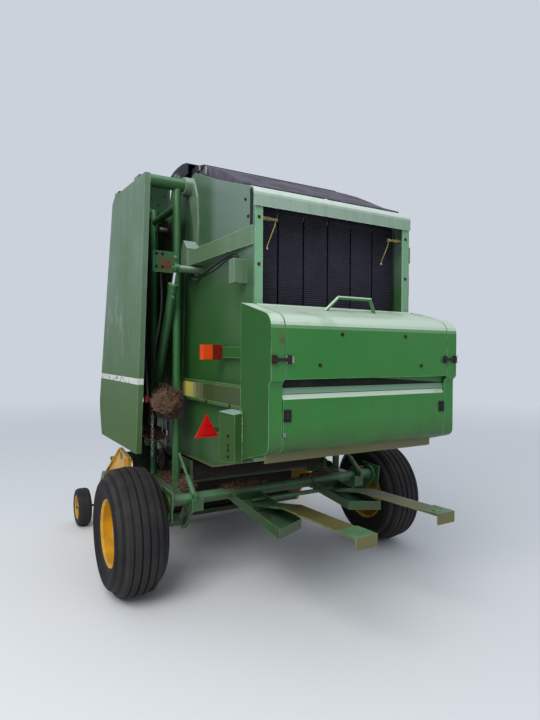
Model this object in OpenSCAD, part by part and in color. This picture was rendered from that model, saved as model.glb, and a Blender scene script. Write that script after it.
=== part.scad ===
// Round baler with belts and a variable chamber, parked on its jack.
// +Y points to the tractor, +X to the right-hand side, +Z up.
// The origin is on the ground, midway between the front and rear ends.
// Sizes and places below are given from the ground under the axle.

/* [Wheels] */
// Distance between the middles of the two tyres
wheel_track = 2200; // [2100:10:2300]
// Outer diameter of a tyre
tyre_d = 850; // [820:5:870]
// Width of a tyre
tyre_w = 350; // [300:5:370]
// Diameter of the rim's flange
rim_d = 442; // [420:2:460]
// Diameter of the wheel spindle
spindle_d = 50; // [40:2:60]
// Depth of the grooves round a tyre
groove_depth = 18; // [8:1:24]

/* [Chamber walls] */
// Outer width over the side walls
body_w = 1226; // [1150:2:1260]
// Thickness of a side wall
wall_t = 8; // [4:1:12]
// Place of the tailgate's rear face behind the axle
gate_rear = 873; // [820:1:900]
// Lean of the joint between the two halves of a side wall
joint_lean = 135; // [60:5:160]
// Width of the lip along the tailgate's lower edges
lip_w = 20; // [12:1:26]
// Gap between the two halves of a side wall
joint_gap = 20; // [12:1:40]

/* [Tailgate hinge] */
// Height of the tailgate hinge
hinge_z = 2860; // [2840:5:2880]
// Place of the tailgate hinge ahead of the axle
hinge_y = 100; // [80:5:120]
// Diameter of the hinge tube
hinge_d = 90; // [76:2:96]
// Reach of the hinge tube beyond a side wall
hinge_over = 327; // [290:1:340]

/* [Lift cylinders] */
// Distance of a lift cylinder from the side wall
lift_out = 187; // [177:1:202]
// Diameter of a barrel
barrel_d = 64; // [54:2:70]
// Diameter of a rod
rod_d = 36; // [28:1:40]
// Diameter of the pins at its ends
pin_d = 30; // [24:1:34]

/* [Belts] */
// Number of belts side by side
belt_count = 6; // [5:1:7]
// Margin between the belts and the side walls
belt_margin = 35; // [28:1:60]
// Gap between two belts
belt_gap = 12; // [8:1:30]
// Thickness of a belt
belt_t = 6; // [4:1:10]
// Diameter of the belt rollers
roller_d = 100; // [80:2:120]
// Diameter of the shafts in the rollers
shaft_d = 40; // [30:2:50]

/* [Net box] */
// How far the net box stands out beside a side wall
box_over = 81; // [60:1:100]
// Depth of the net box behind the tailgate
box_depth = 347; // [320:1:380]
// Height of the net box's top
box_top = 1922; // [1900:1:1940]
// Sheet thickness of the net box
sheet_t = 5; // [3:0.5:8]
// How far its doors' seams lie inside the wall's outer face
seam_in = 1; // [0:0.5:4]
// Gap round its lid and door
door_gap = 6; // [5:0.5:10]

/* [Side shields] */
// Distance of a shield from the side wall, at its top
shield_out = 417; // [397:2:447]
// Lean of a shield away from the machine, in degrees
shield_lean = 0; // [0:0.25:1]
// Sheet thickness of a shield
shield_t = 5; // [3:0.5:8]
// Depth of its folded edges
shield_fold = 32; // [20:1:45]

/* [Pickup] */
// Width of the pickup between its end plates
pickup_w = 1840; // [1700:10:1850]
// Radius of the circle that the tine tips run on
tine_r = 245; // [220:1:250]
// Radius of the stripper bands
band_r = 178; // [160:1:190]
// Number of tine bars on the reel
bar_count = 4; // [3:1:5]
// Distance from one tine to the next
tine_pitch = 80; // [60:1:100]
// Thickness of a tine
tine_d = 8; // [5:0.5:10]
// Diameter of a gauge wheel
gauge_d = 345; // [320:5:380]
// Width of a gauge wheel
gauge_w = 120; // [100:5:130]

/* [Bale ramp] */
// Distance of the left arm from the middle
ramp_left_x = 296; // [280:2:320]
// Distance of the right arm from the middle
ramp_right_x = 366; // [340:2:380]
// Place of the left arm's rear end behind the axle
ramp_rear = 1505; // [1480:5:1540]
// Place of the right arm's rear end behind the axle
ramp_rear_right = 1430; // [1400:5:1460]
// Width of an arm
ramp_arm_w = 136; // [110:2:150]
// Diameter of the lower cross tube that it turns on
cross_d = 80; // [70:1:90]

/* [Drawbar] */
// Place of the hitch pin ahead of the axle
hitch_y = 2860; // [2700:10:3000]
// Height of the hitch pin's middle
hitch_z = 480; // [440:5:520]
// Diameter of the hole for the hitch pin
hitch_pin_d = 32; // [28:1:38]
// Height and width of a drawbar beam
beam_h = 90; // [80:1:100]

/* [Hidden] */
$fn = 48;

left = -1;
right = 1;
sides = [left, right];
eps = 0.3;
run_gap = 0.05;

body_x = body_w / 2;
inner_x = body_x - wall_t;
wheel_x = wheel_track / 2;
lift_x = body_x + lift_out;
shield_x = body_x + shield_out;
box_w = body_w + 2 * box_over;
end_strip = box_over + seam_in;
belt_pitch = 2 * (inner_x - belt_margin) / belt_count;
wheel_z = tyre_d / 2;

// The two halves of a side wall meet on a leaning line behind the joint_y values
joint_low_y = 320;
joint_low_z = 860;
joint_high_y = joint_low_y - joint_lean;
joint_high_z = 2780;

cross_y = -170;
cross_z = 630;
cross_r = cross_d / 2;
rail_x = body_x + 87;
rail_w = 80;
rail_z = 600;
rail_h = 80;
rail_front = 840;
rail_rear = -250;
// The outer drop plates and the spindle's shoulder, seen from the tyre's middle
plate_t = 22;
plate_x = wheel_x - 216;
post_x = body_x + 117;
post_r = 28;
front_post_y = 640;

lift_low_y = 560;
lift_low_z = 925;
lift_high_y = -80;
lift_high_z = 2220;
pin_r = pin_d / 2;

shield_rear = -137;
shield_rear_z = 2830;
edge_slope = atan2(50, 777);
shield_pin_r = 10;
// Places of its two hinges along the top edge
shield_hinge_at = [220, 790];

reel_y = 1360;
reel_z = 300;
pickup_hinge_y = 900;
pickup_hinge_z = 760;
pickup_hinge_r = 30;
gauge_x = pickup_w / 2 + 200;
gauge_y = 1600;

front_reach = hitch_y + 45;
origin_y = (front_reach - ramp_rear) / 2;

// An arc of n steps as points round c, from angle a to angle b
function arc(c, r, a, b, n = 6) =
    [for (k = [0:n]) c + r * [cos(a + (b - a) * k / n), sin(a + (b - a) * k / n)]];

function wrap(a) = a - 360 * floor(a / 360);

// The direction of the outward normal of the straight run from roller p to roller q
function run_normal(p, q, extra) =
    let (d = [q[0] - p[0], q[1] - p[1]])
    atan2(d[1], d[0]) - 90 + asin((p[2] - q[2]) / norm(d));

// The outline of a belt round a table of rollers [y, z, radius], counter-clockwise
function belt_outline(rollers, extra, steps = 6) = [
    for (i = [0:len(rollers) - 1])
        let (
            count = len(rollers),
            before = rollers[(i + count - 1) % count],
            here = rollers[i],
            after = rollers[(i + 1) % count],
            a = run_normal(before, here, extra),
            turn = wrap(run_normal(here, after, extra) - a),
            r = (here[2] + extra) / cos(turn / steps / 2)
        )
        each arc([here[0], here[1]], r, a, a + turn, steps)
];

module place() {
    translate([0, -origin_y, 0]) children();
}

// Draws a left-hand or right-hand copy of something drawn on the right
module on_side(side) {
    mirror([side == left ? 1 : 0, 0, 0]) children();
}

module both_sides() {
    for (side = sides) on_side(side) children();
}

// Stretches an outline of [y, z] points along X
module along_x(x0, x1) {
    translate([x0, 0, 0]) rotate([90, 0, 90]) linear_extrude(x1 - x0) children();
}

module tube_x(y, z, r, x0, x1) {
    translate([x0, y, z]) rotate([0, 90, 0]) cylinder(r = r, h = x1 - x0);
}

module block(x, y, z) {
    translate([x[0], y[0], z[0]]) cube([x[1] - x[0], y[1] - y[0], z[1] - z[0]]);
}

module rod(p, q, r) {
    d = q - p;
    translate(p) rotate([0, acos(d[2] / norm(d)), atan2(d[1], d[0])]) cylinder(r = r, h = norm(d));
}

// A hose of radius r through the points of its route
module hose(route, r) {
    for (i = [0:len(route) - 2]) hull() {
        translate(route[i]) sphere(r = r, $fn = 12);
        translate(route[i + 1]) sphere(r = r, $fn = 12);
    }
}

// A square bar between two points, with its sides square to X
module bar(p, q, w, h) {
    d = q - p;
    translate(p) rotate([0, 0, atan2(d[1], d[0]) - 90]) rotate([atan2(d[2], norm([d[0], d[1]])), 0, 0])
        translate([-w / 2, 0, -h / 2]) cube([w, norm(d), h]);
}

// Outlines of the side walls, as [y, z] points
gate_wall = [
    [joint_low_y, joint_low_z], [joint_high_y, joint_high_z], [hinge_y - 5, hinge_z + 82],
    [hinge_y - 60, hinge_z + 90], [-320, 2800], [60 - gate_rear, 2620], [20 - gate_rear, 2600],
    [-gate_rear, 2560], [-gate_rear, 1000], [-340, 870],
];
front_wall = [
    [90, 650], [90, 828], [joint_low_y + joint_gap, 828], [joint_low_y + joint_gap, joint_low_z],
    [joint_high_y + joint_gap, joint_high_z], [joint_high_y + joint_gap, 2900], [240, 3010],
    each arc([320, 3012], 80, 150, 90, 4), each arc([450, 3012], 80, 90, 20, 4),
    [640, 2780], [1080, 1260], [1120, 1000], [1120, 800], [1040, 650],
];

module lower_frame() {
    spindle_r = spindle_d / 2;
    rail_top = rail_z + rail_h / 2;
    color("#3f8a45") place() {
        tube_x(cross_y, cross_z, cross_r, -plate_x - 6, plate_x + 6);
        both_sides() {
            block([rail_x - rail_w / 2, rail_x + rail_w / 2], [rail_rear, rail_front],
                  [rail_z - rail_h / 2, rail_top]);
            for (x = [rail_x, plate_x - plate_t]) along_x(x, x + plate_t) drop_plate();
            tube_x(0, wheel_z, spindle_r, rail_x + 20, wheel_x + 20);
            tube_x(0, wheel_z, spindle_r + 12, plate_x, plate_x + 41);
            along_x(rail_x - 10, rail_x + 12) polygon([
                [780, rail_top], [780, 790], [940, 790], [940, 720], [rail_front, rail_top]]);
            tube_x(pickup_hinge_y, pickup_hinge_z, pickup_hinge_r, body_x, pickup_w / 2 + 14);
            along_x(plate_x, plate_x + 8) polygon([
                [-70, 715], [-285, 705], [-262, 515], [-226, 515], [-246, 672], [-70, 683]]);
            rod([post_x - 10, 64, 900], [post_x - 10, -120, 757], 11);
            rod([post_x - 10, -110, 765], [post_x - 10, -236, 667], 19);
            along_x(post_x - 20, post_x) polygon(concat(
                arc([-236, 667], 26, 0, 180, 8), [[-262, 630], [-210, 630]]));
            for (y = [430, 820]) block([rail_x - rail_w / 2, rail_x + rail_w / 2], [y, y + 10], [540, 560]);
        }
        tube_x(470, 600, 32, -rail_x, rail_x);
    }
}

module drop_plate() {
    difference() {
        polygon(concat(arc([cross_y, cross_z], 70, 60, 210), arc([0, wheel_z], 55, 210, 420)));
        translate([cross_y / 2 + 20, (cross_z + wheel_z) / 2]) circle(r = 30);
    }
}

module hinge_tube() {
    color("#3f8a45") place() {
        tube_x(hinge_y, hinge_z, hinge_d / 2, -body_x - hinge_over, body_x + hinge_over);
        both_sides() shield_pin(shield_hinge_at[0]);
    }
}

// The two posts of one side, with what joins and hangs on them
module posts(side) {
    rail_top = rail_z + rail_h / 2;
    color("#3f8a45") place() on_side(side) difference() {
        union() {
            translate([post_x, hinge_y, rail_top]) cylinder(r = post_r, h = hinge_z - rail_top);
            translate([post_x, front_post_y, rail_top]) cylinder(r = post_r, h = 2800 - rail_top);
            rod([post_x, hinge_y, 2700], [post_x, front_post_y, 2700], post_r);
            block([post_x, post_x + 190], [62, 76], [2210, 2360]);
            along_x(post_x + 6, post_x + 20)
                polygon(concat(arc([lift_low_y, lift_low_z], 45, 100, 260, 8),
                    [[front_post_y, lift_low_z - 90], [front_post_y, lift_low_z + 90]]));
            tube_x(lift_low_y, lift_low_z, pin_r, post_x + 6, lift_x + 30);
            rod([post_x, front_post_y, 2770], [shield_x - 90, front_post_y, 2893], 20);
            shield_pin(shield_hinge_at[1]);
            bulkhead();
            along_x(post_x - 5, post_x + 5) polygon([
                [hinge_y, 2560], [hinge_y + 130, 2690], [hinge_y, 2690]]);
            along_x(post_x - 5, post_x + 5) polygon([
                [front_post_y, 2560], [front_post_y - 130, 2690], [front_post_y, 2690]]);
            if (side == left) control_block();
        }
        tube_x(hinge_y, hinge_z, hinge_d / 2, post_x - 50, post_x + 50);
    }
}

// The plate ahead of a front post that closes the space behind a shield
module bulkhead() {
    difference() {
        block([post_x, shield_x - 48], [front_post_y, front_post_y + 5], [1000, 2690]);
        for (z = [1250, 1600, 1950, 2300]) translate([post_x + 140, front_post_y - 1, z])
            rotate([-90, 0, 0]) cylinder(r = 55, h = 8);
    }
}

// The block of valves and levers on the left rear post
module control_block() {
    block([post_x, post_x + 138], [hinge_y - 150, hinge_y + 130], [1170, 1345]);
    for (y = [-20, 60, 140]) {
        rod([post_x + 110, y, 1335], [post_x + 110, y, 1410], 6);
        rod([post_x + 110, y, 1385], [post_x + 110, y, 1418], 11);
    }
    for (z = [1205, 1260]) tube_x(hinge_y - 90, z, 15, post_x + 136, post_x + 166);
}

// The hoses from the control block, up to the lift plate and forward to the bulkhead
module lift_hose() {
    color("#1b1b1e") place() hose([
        [-850, 200, 1354.2], [-850, 200, 1400], [-868, 175, 1470], [-892, 130, 1560], [-900, 85, 1650],
        [-893, 45, 1750], [-878, 25, 1870], [-866, 30, 1990], [-860, 50, 2090], [-858, 69, 2150],
        [-858, 69, 2196.8]], 9);
}

module feed_hose() {
    color("#1b1b1e") place() hose([
        [-904.2, 10, 1260], [-925, 10, 1262], [-950, 22, 1300], [-957, 45, 1370], [-956, 80, 1460],
        [-953, 120, 1570], [-948, 190, 1690], [-935, 290, 1770], [-910, 420, 1795], [-885, 560, 1782],
        [-878, 631.8, 1775]], 8);
}

// The hose that hangs below the left arm, from its bracket to the block at its rear end
module arm_hose() {
    color("#1b1b1e") place() hose([
        [-665, -34, 2233.8], [-665, -38, 2206], [-662, -62, 2177], [-656, -112, 2165], [-652, -200, 2172],
        [-650, -300, 2188], [-649, -400, 2205], [-648, -500, 2221], [-648, -600, 2233], [-648, -680, 2237],
        [-648, -728, 2223], [-648, -752, 2196.2]], 6);
}

module left_posts() {
    posts(left);
}

module right_posts() {
    posts(right);
}

// A lug and pin that a shield hangs on, y along its top edge
module shield_pin(y) {
    at_shield_hinge() {
        translate([-78, y - 20, -12]) cube([88, 12, 26]);
        translate([0, y - 20, 0]) rotate([-90, 0, 0]) cylinder(r = shield_pin_r, h = 92);
    }
}

// The hinge line of a right-hand shield, with Y along it
module at_shield_hinge() {
    translate([shield_x - 22, shield_rear, shield_rear_z]) rotate([edge_slope, 0, 0])
        translate([0, 0, 20]) children();
}

module chassis_walls() {
    color("#35733c") place() both_sides() along_x(inner_x, body_x) difference() {
        polygon(front_wall);
        for (roll = start_rolls) translate([roll[0], roll[1]]) circle(r = shaft_d / 2 + eps);
        translate([front_runs[2][0], front_runs[2][1]]) circle(r = shaft_d / 2 + eps);
    }
}

// Rolls at the bottom of the chamber: [y, z, radius]
start_rolls = [[620, 760, 90], [900, 900, 70], [200, 742, 84]];

module starter_rolls() {
    color("#8a8f92") place() for (roll = start_rolls) {
        tube_x(roll[0], roll[1], roll[2], 8 - inner_x, inner_x - 8);
        tube_x(roll[0], roll[1], shaft_d / 2, -body_x - 60, body_x + 60);
    }
}

// Belt rollers of each half: [y, z, radius]
function with_radius(list) = [for (p = list) [p[0], p[1], roller_d / 2]];
front_runs = with_radius([[400, 1120], [920, 1240], [600, 2640], [385, 3020]]);
gate_runs = with_radius([[-700, 1120], [-120, 980], [-20, 2780], [-700, 2500]]);

module rollers(table) {
    for (p = table) {
        tube_x(p[0], p[1], p[2], 12 - inner_x, inner_x - 12);
        tube_x(p[0], p[1], shaft_d / 2, -inner_x, inner_x);
    }
}

module belts(table) {
    width = belt_pitch - belt_gap;
    for (i = [0:belt_count - 1]) {
        x = (i - (belt_count - 1) / 2) * belt_pitch;
        along_x(x - width / 2, x + width / 2) difference() {
            polygon(belt_outline(table, belt_t + eps));
            polygon(belt_outline(table, eps));
        }
    }
}

module front_rollers() {
    color("#8a8f92") place() {
        rollers(front_runs);
        tube_x(front_runs[2][0], front_runs[2][1], shaft_d / 2, -body_x - 90, 0);
    }
}

module front_belts() {
    color("#2c2c38") place() belts(front_runs);
}

module tailgate_rollers() {
    color("#8a8f92") place() rollers(gate_runs);
}

module tailgate_belts() {
    color("#2c2c38") place() belts(gate_runs);
}

module tailgate_walls() {
    edge = [[joint_low_y - 6, joint_low_z], [-340, 870], [20 - gate_rear, 994]];
    color("#3b6a3c") place() both_sides() {
        along_x(inner_x, body_x) difference() {
            polygon(gate_wall);
            translate([hinge_y, hinge_z]) circle(r = hinge_d / 2 + 1);
        }
        along_x(body_x, body_x + lip_w)
            polygon(concat(edge, [for (i = [2:-1:0]) [edge[i][0], edge[i][1] + 5]]));
    }
}

// Posts and cross bars between the tailgate's walls
module tailgate_frame() {
    color("#6fa573") place() {
        both_sides() block([inner_x - 52, inner_x], [-gate_rear, 8 - gate_rear], [1000, cap_low]);
        for (z = [1000, 1862]) block([52 - inner_x, inner_x - 52], [-gate_rear, 40 - gate_rear], [z, z + 60]);
        both_sides() block([inner_x - 52, inner_x], [8 - gate_rear, 48 - gate_rear], [1062, 1120]);
    }
}

// Lower edge and top of the cap
cap_low = 2490;
cap_top = 2614;

module tailgate_cap() {
    cap_r = 58;
    cap_t = 4;
    rear = -gate_rear - 12;
    front = 70 - gate_rear;
    outer = [
        [rear, cap_low], each arc([rear + cap_r, cap_top - cap_r], cap_r, 180, 90), [front, cap_top + 6]];
    inner = [
        [rear + cap_t, cap_low], each arc([rear + cap_r, cap_top - cap_r], cap_r - cap_t, 180, 90),
        [front, cap_top + 2],
    ];
    count = len(inner);
    color("#8fc79b") place() difference() {
        union() {
            along_x(-body_x - 2, body_x + 2)
                polygon(concat(outer, [for (i = [count - 1:-1:0]) inner[i]]));
            both_sides() along_x(inner_x - 3, inner_x) polygon(concat(inner, [[front, cap_low]]));
        }
        both_sides() along_x(inner_x, body_x + 3) polygon(gate_wall);
    }
}

module top_cover() {
    half = inner_x - 20;
    rear = 74 - gate_rear;
    top = [
        [40, 3004], [-60, 2980], [-200, 2922], [-345, 2858], [-480, 2789], [-640, 2704], [rear, 2638]];
    wall_edge = [
        [40, 2930], [-60, 2905], [-200, 2852], [-345, 2796], [-480, 2746], [-640, 2688], [rear, 2632]];
    count = len(top);
    color("#4b4650") place() {
        along_x(-half, half) polygon(concat(top, [for (i = [count - 1:-1:0]) [top[i][0], top[i][1] - 6]]));
        both_sides() along_x(half - 6, half)
            polygon(concat(top, [for (i = [count - 1:-1:0]) [wall_edge[i][0], wall_edge[i][1] - 30]]));
        for (i = [1, 3, 5]) {
            z = wall_edge[i][1];
            both_sides() block([half, inner_x], [top[i][0] - 15, top[i][0] + 15], [z - 34, z - 12]);
        }
    }
}

// Arms that carry the tailgate on the hinge tube, and the beams back from them
module hinge_arms() {
    front = -60;
    rear = -gate_rear;
    color("#4f8a52") place() both_sides() difference() {
        union() {
            tube_x(hinge_y, hinge_z, 62, body_x, body_x + 70);
            along_x(body_x, body_x + 12) polygon(concat(
                arc([hinge_y, hinge_z], 66, -20, 160, 12),
                [[-20, 2760], [-40, 2560], [-20, 2400], [-20, 2160]],
                [[50, 2160], [50, 2560], [90, 2700]]));
            intersection() {
                along_x(body_x, body_x + 90)
                    polygon([[front, 2252], [front, 2350], [rear, 2377], [rear, 2266]]);
                translate([0, 0, 2200]) linear_extrude(250)
                    polygon([[body_x, front], [body_x + 87, front], [body_x + 12, rear], [body_x, rear]]);
            }
            along_x(body_x, body_x + 100) polygon([
                [front, 2240], [front, 2375], [10, 2440], [60, 2375], [60, 2240]]);
            tube_x(lift_high_y, lift_high_z, 24, body_x, lift_x - rod_d / 2 - eps);
            block([body_x, body_x + 85], [-790, -720], [2050, 2190]);
        }
        tube_x(hinge_y, hinge_z, hinge_d / 2 + run_gap, body_x - 1, body_x + 71);
    }
}

module side_channels() {
    depth = 47;
    color("#35733c") place() both_sides() {
        difference() {
            block([body_x, body_x + depth], [-800, 180], [1300, 1445]);
            block([body_x - 1, body_x + depth - 5], [-801, 181], [1305, 1440]);
            block([body_x + depth - 2, body_x + depth + 1], [-801, 166], [1316, 1429]);
        }
        block([body_x, body_x + 35], [-800, -470], [1604, 1672]);
    }
}

module tail_lamps() {
    color("#e04a1e") place() both_sides() {
        block([body_x + 35, body_x + 167], [-516, -470], [1592, 1686]);
        for (x = [body_x + 38, body_x + 102]) block([x, x + 61], [-522, -516], [1596, 1682]);
    }
}

module warning_triangle() {
    color("#d8161c") place() on_side(left) translate([body_x + 152, -545, 1110]) rotate([90, 0, 0]) {
        linear_extrude(6) polygon([[-78, 0], [78, 0], [0, 145]]);
        translate([0, 0, 6]) linear_extrude(3) polygon([[-52, 15], [52, 15], [0, 111]]);
    }
}

module side_boxes() {
    outer_x = body_x + 127;
    box_rear = -gate_rear - 20;
    color("#35733c") place() {
        both_sides() difference() {
            union() {
                along_x(body_x, outer_x) polygon([
                    [-680, 985], [-680, 1280], [box_rear, 1280], [box_rear, 1012], [-gate_rear, 1006]]);
                translate([0, -680, 0]) rotate([90, 0, 0]) linear_extrude(-box_rear - 680)
                    polygon([[body_x, 1280], [outer_x + 6, 1280], [outer_x + 6, 1284], [body_x, 1299]]);
            }
            block([0, box_w / 2], [-gate_rear - 100, -gate_rear], [900, 1400]);
        }
        on_side(left) block([body_x, body_x + 177], [-545, -541], [1136, 1172]);
    }
}

// Hinge lines of the net box's lid and door: [y, z]
lid_hinge = [-gate_rear - 20, box_top - 12];
door_rear = -gate_rear - box_depth + 25;
door_hinge = [door_rear + 42, 1107];
lid_knuckle_r = 12;
lid_pin_r = 6;
door_knuckle_r = 9.5;
door_pin_r = 4;

// Rear outline of the net box, drawn inset by the sheet that is left off
function box_back(inset) = [
    [-gate_rear - 20, box_top - 5 - inset],
    each arc([85 - gate_rear - box_depth, box_top - 157], 85 - inset, 106, 180),
    [inset - gate_rear - box_depth, 1495],
];

// Rear outline of the lower door: its bevelled top, its flat face and its rounded foot
function door_back(inset) = [
    [door_rear + 13 + inset, 1414 - inset / 4], [door_rear + inset, 1387 - inset / 4],
    each arc([door_rear + 50, 1150], 50 - inset, 180, 250, 5),
];

module net_box() {
    rear = -gate_rear - box_depth;
    half = box_w / 2 - end_strip;
    outer = [
        [-gate_rear, 1020], [-gate_rear, box_top], each box_back(0), [rear, 1492], [rear + 25, 1468],
        [rear + 25, 1150], each arc([rear + 75, 1150], 50, 180, 250, 4),
    ];
    color("#2f7a3c") place() {
        both_sides() along_x(box_w / 2 - sheet_t, box_w / 2) polygon(outer);
        both_sides() along_x(half, box_w / 2 - sheet_t) difference() {
            polygon(outer);
            polygon([
                [-gate_rear - sheet_t, 1030], [-gate_rear - sheet_t, box_top - sheet_t],
                each box_back(sheet_t), [rear + sheet_t, 1490], [rear + 25 + sheet_t, 1466],
                [rear + 25 + sheet_t, 1150]]);
        }
        along_x(-half, half)
            polygon([[-gate_rear, 1020], [-gate_rear, 1026], [rear + 84, 1106], [rear + 84, 1100]]);
        along_x(sheet_t - box_w / 2, box_w / 2 - sheet_t)
            polygon([
                [rear + 33, 1417], [rear + 45, 1448], [rear + 45, 1540], [rear + 50, 1540],
                [rear + 50, 1447], [rear + 38, 1416]]);
        both_sides() {
            along_x(half, half + 10) translate(lid_hinge - [14, 12]) square([28, 20]);
            along_x(half, half + 10) translate(door_hinge - [8, 6]) square([28, 30]);
        }
        tube_x(lid_hinge[0], lid_hinge[1], lid_pin_r, -half, half);
        tube_x(door_hinge[0], door_hinge[1], door_pin_r, -half, half);
    }
}

module net_rollers() {
    color("#8a8f92") place() for (p = [[-960, 1180], [-1060, 1180]])
        tube_x(p[0], p[1], 40, sheet_t - box_w / 2, box_w / 2 - sheet_t);
}

module net_lid() {
    half = box_w / 2 - end_strip - door_gap;
    back = box_back(0);
    front = box_back(sheet_t);
    count = len(back);
    handle_y = -gate_rear - 120;
    handle_foot = box_top - 35;
    handle_top = box_top + 53;
    color("#2f7a3c") place() {
        difference() {
            union() {
                along_x(-half, half) polygon(concat(back, [for (i = [count - 1:-1:0]) front[i]]));
                tube_x(lid_hinge[0], lid_hinge[1], lid_knuckle_r, -half, half);
            }
            tube_x(lid_hinge[0], lid_hinge[1], lid_pin_r + run_gap, -half - 1, half + 1);
        }
        tube_x(handle_y, handle_top, 11, -97, 165);
        rod([158, handle_y, handle_top], [196, handle_y, handle_foot], 10.5);
        rod([-90, handle_y, handle_top], [-192, handle_y, handle_foot], 10.5);
    }
}

module net_door() {
    half = box_w / 2 - end_strip - door_gap;
    outer = door_back(0);
    inner = door_back(sheet_t);
    count = len(outer);
    color("#2f7a3c") place() along_x(-half, half) difference() {
        union() {
            polygon(concat(outer, [for (i = [count - 1:-1:0]) inner[i]]));
            translate(door_hinge) circle(r = door_knuckle_r);
        }
        translate(door_hinge) circle(r = door_pin_r + run_gap);
    }
}

// Side outline of a shield: [y, z]
shield_outline = [
    [shield_rear, shield_rear_z], [640, 2880], [720, 2872], [780, 2840], [1250, 1220], [1240, 1120],
    [1170, 915], [70, 925],
];

module shield(side) {
    knuckle_len = 60;
    color("#4a7a4a") place() on_side(side) difference() {
        union() {
            translate([shield_x, 0, 2880]) rotate([0, -shield_lean, 0]) translate([0, 0, -2880])
                union() {
                    difference() {
                        along_x(-shield_fold, shield_t) polygon(shield_outline);
                        along_x(-shield_fold - 1, 0) polygon(shield_inner(shield_t));
                    }
                    stiffener(1430, 90, 1150);
                    stiffener(2150, 20, 940);
                }
            at_shield_hinge() for (y = shield_hinge_at) translate([0, y, 0]) {
                rotate([-90, 0, 0]) cylinder(r = 18, h = knuckle_len);
                translate([0, 0, -30]) cube([24, knuckle_len, 30]);
            }
        }
        at_shield_hinge() for (y = shield_hinge_at) translate([0, y - 1, 0]) rotate([-90, 0, 0])
            cylinder(r = shield_pin_r + run_gap, h = knuckle_len + 2);
    }
}

// A hat-shaped stiffener on the inside of a shield
module stiffener(z, y0, y1) {
    translate([0, y0, z]) rotate([-90, 0, 0]) linear_extrude(y1 - y0) difference() {
        polygon([[0, -36], [0, 36], [-3, 36], [-3, 23], [-20, 18], [-20, -18], [-3, -23], [-3, -36]]);
        polygon([[0, -19], [-17, -15], [-17, 15], [0, 19]]);
    }
}

function shield_inner(t) = [
    [shield_rear + t, shield_rear_z - t], [640, 2880 - t], [718, 2872 - t], [778 - t, 2838 - t],
    [1250 - t, 1220], [1240 - t, 1122], [1170 - t, 915 + t], [70 + t, 925 + t],
];

module left_shield() {
    shield(left);
}

module right_shield() {
    shield(right);
}

lift_vector = [0, lift_high_y - lift_low_y, lift_high_z - lift_low_z];
lift_len = norm(lift_vector);
lift_dir = lift_vector / lift_len;
lift_angle = atan2(-lift_vector[1], lift_vector[2]);

// Draws along a lift cylinder, from its lower pin upwards
module along_lift(side) {
    color("#3f8a45") place() on_side(side) translate([lift_x, lift_low_y, lift_low_z])
        rotate([lift_angle, 0, 0]) children();
}

module barrel(side) {
    barrel_len = 1330;
    along_lift(side) difference() {
        union() {
            translate([0, 0, 30]) cylinder(r = barrel_d / 2, h = barrel_len - 30);
            tube_x(0, 0, 34, -18, 18);
            translate([0, 0, 10]) cylinder(r = 22, h = 30);
            translate([0, 0, barrel_len - 46]) cylinder(r = barrel_d / 2 + 5, h = 46);
            for (z = [75, barrel_len - 85]) translate([0, 0, z]) rotate([90, 0, 0]) cylinder(r = 10, h = 48);
        }
        translate([0, 0, 90]) cylinder(r = rod_d / 2 + run_gap, h = barrel_len);
        tube_x(0, 0, pin_r + run_gap, -40, 40);
    }
}

module lift_rod(side) {
    along_lift(side) {
        translate([0, 0, 120]) cylinder(r = rod_d / 2, h = lift_len - 130);
        translate([0, 0, lift_len]) tube_x(0, 0, 32, 1 - rod_d / 2, rod_d / 2 - 1);
        translate([0, 0, lift_len]) tube_x(0, 0, pin_r, -rod_d / 2, rod_d / 2 + 10);
    }
}

module left_barrel() {
    barrel(left);
}

module left_rod() {
    lift_rod(left);
}

module right_barrel() {
    barrel(right);
}

module right_rod() {
    lift_rod(right);
}

module tyre(side) {
    r = tyre_d / 2;
    half = tyre_w / 2;
    bead = rim_d / 2 - 8;
    shape = concat(
        [[bead, half - 50], [bead + 30, half - 20]],
        arc([r - 110, half - 60], 60, 90, 20, 5),
        [[r - 12, half - 70], [r, 0], [r - 12, 70 - half]],
        arc([r - 110, 60 - half], 60, -20, -90, 5),
        [[bead + 30, 20 - half], [bead, 50 - half]]);
    color("#3a383b") place() on_side(side) translate([wheel_x, 0, wheel_z]) rotate([0, 90, 0])
        rotate_extrude($fn = 64) difference() {
            polygon(shape);
            for (y = [-75, -25, 25, 75]) translate([r - groove_depth, y - 6]) square([40, 12]);
        }
}

module rim(side) {
    seat = rim_d / 2 - 8 - eps;
    half = tyre_w / 2;
    bore_r = spindle_d / 2 + run_gap;
    lip = half - 49.5;
    shape = [
        [seat + 12, -lip - 13.5], [seat, -lip], [seat, lip], [seat + 12, lip + 13.5], [seat + 9, lip + 18.5],
        [seat - 6, lip + 5], [seat - 6, 50], [150, 46], [120, 62], [60, 66], [60, 92], [42, 104], [0, 104],
        [0, 30], [bore_r, 30], [bore_r, -150], [50, -150], [50, 56], [75, 58], [118, 54], [148, 38],
        [seat - 6, 42], [seat - 6, -lip - 5], [seat + 9, -lip - 18.5],
    ];
    color("#e3b928") place() on_side(side) translate([wheel_x, 0, wheel_z]) rotate([0, 90, 0]) {
        rotate_extrude($fn = 64) polygon(shape);
        for (k = [0:5]) rotate([0, 0, 60 * k]) translate([92, 0, 60]) cylinder(r = 9, h = 20);
    }
}

module left_tyre() {
    tyre(left);
}

module left_rim() {
    rim(left);
}

module right_tyre() {
    tyre(right);
}

module right_rim() {
    rim(right);
}

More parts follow.
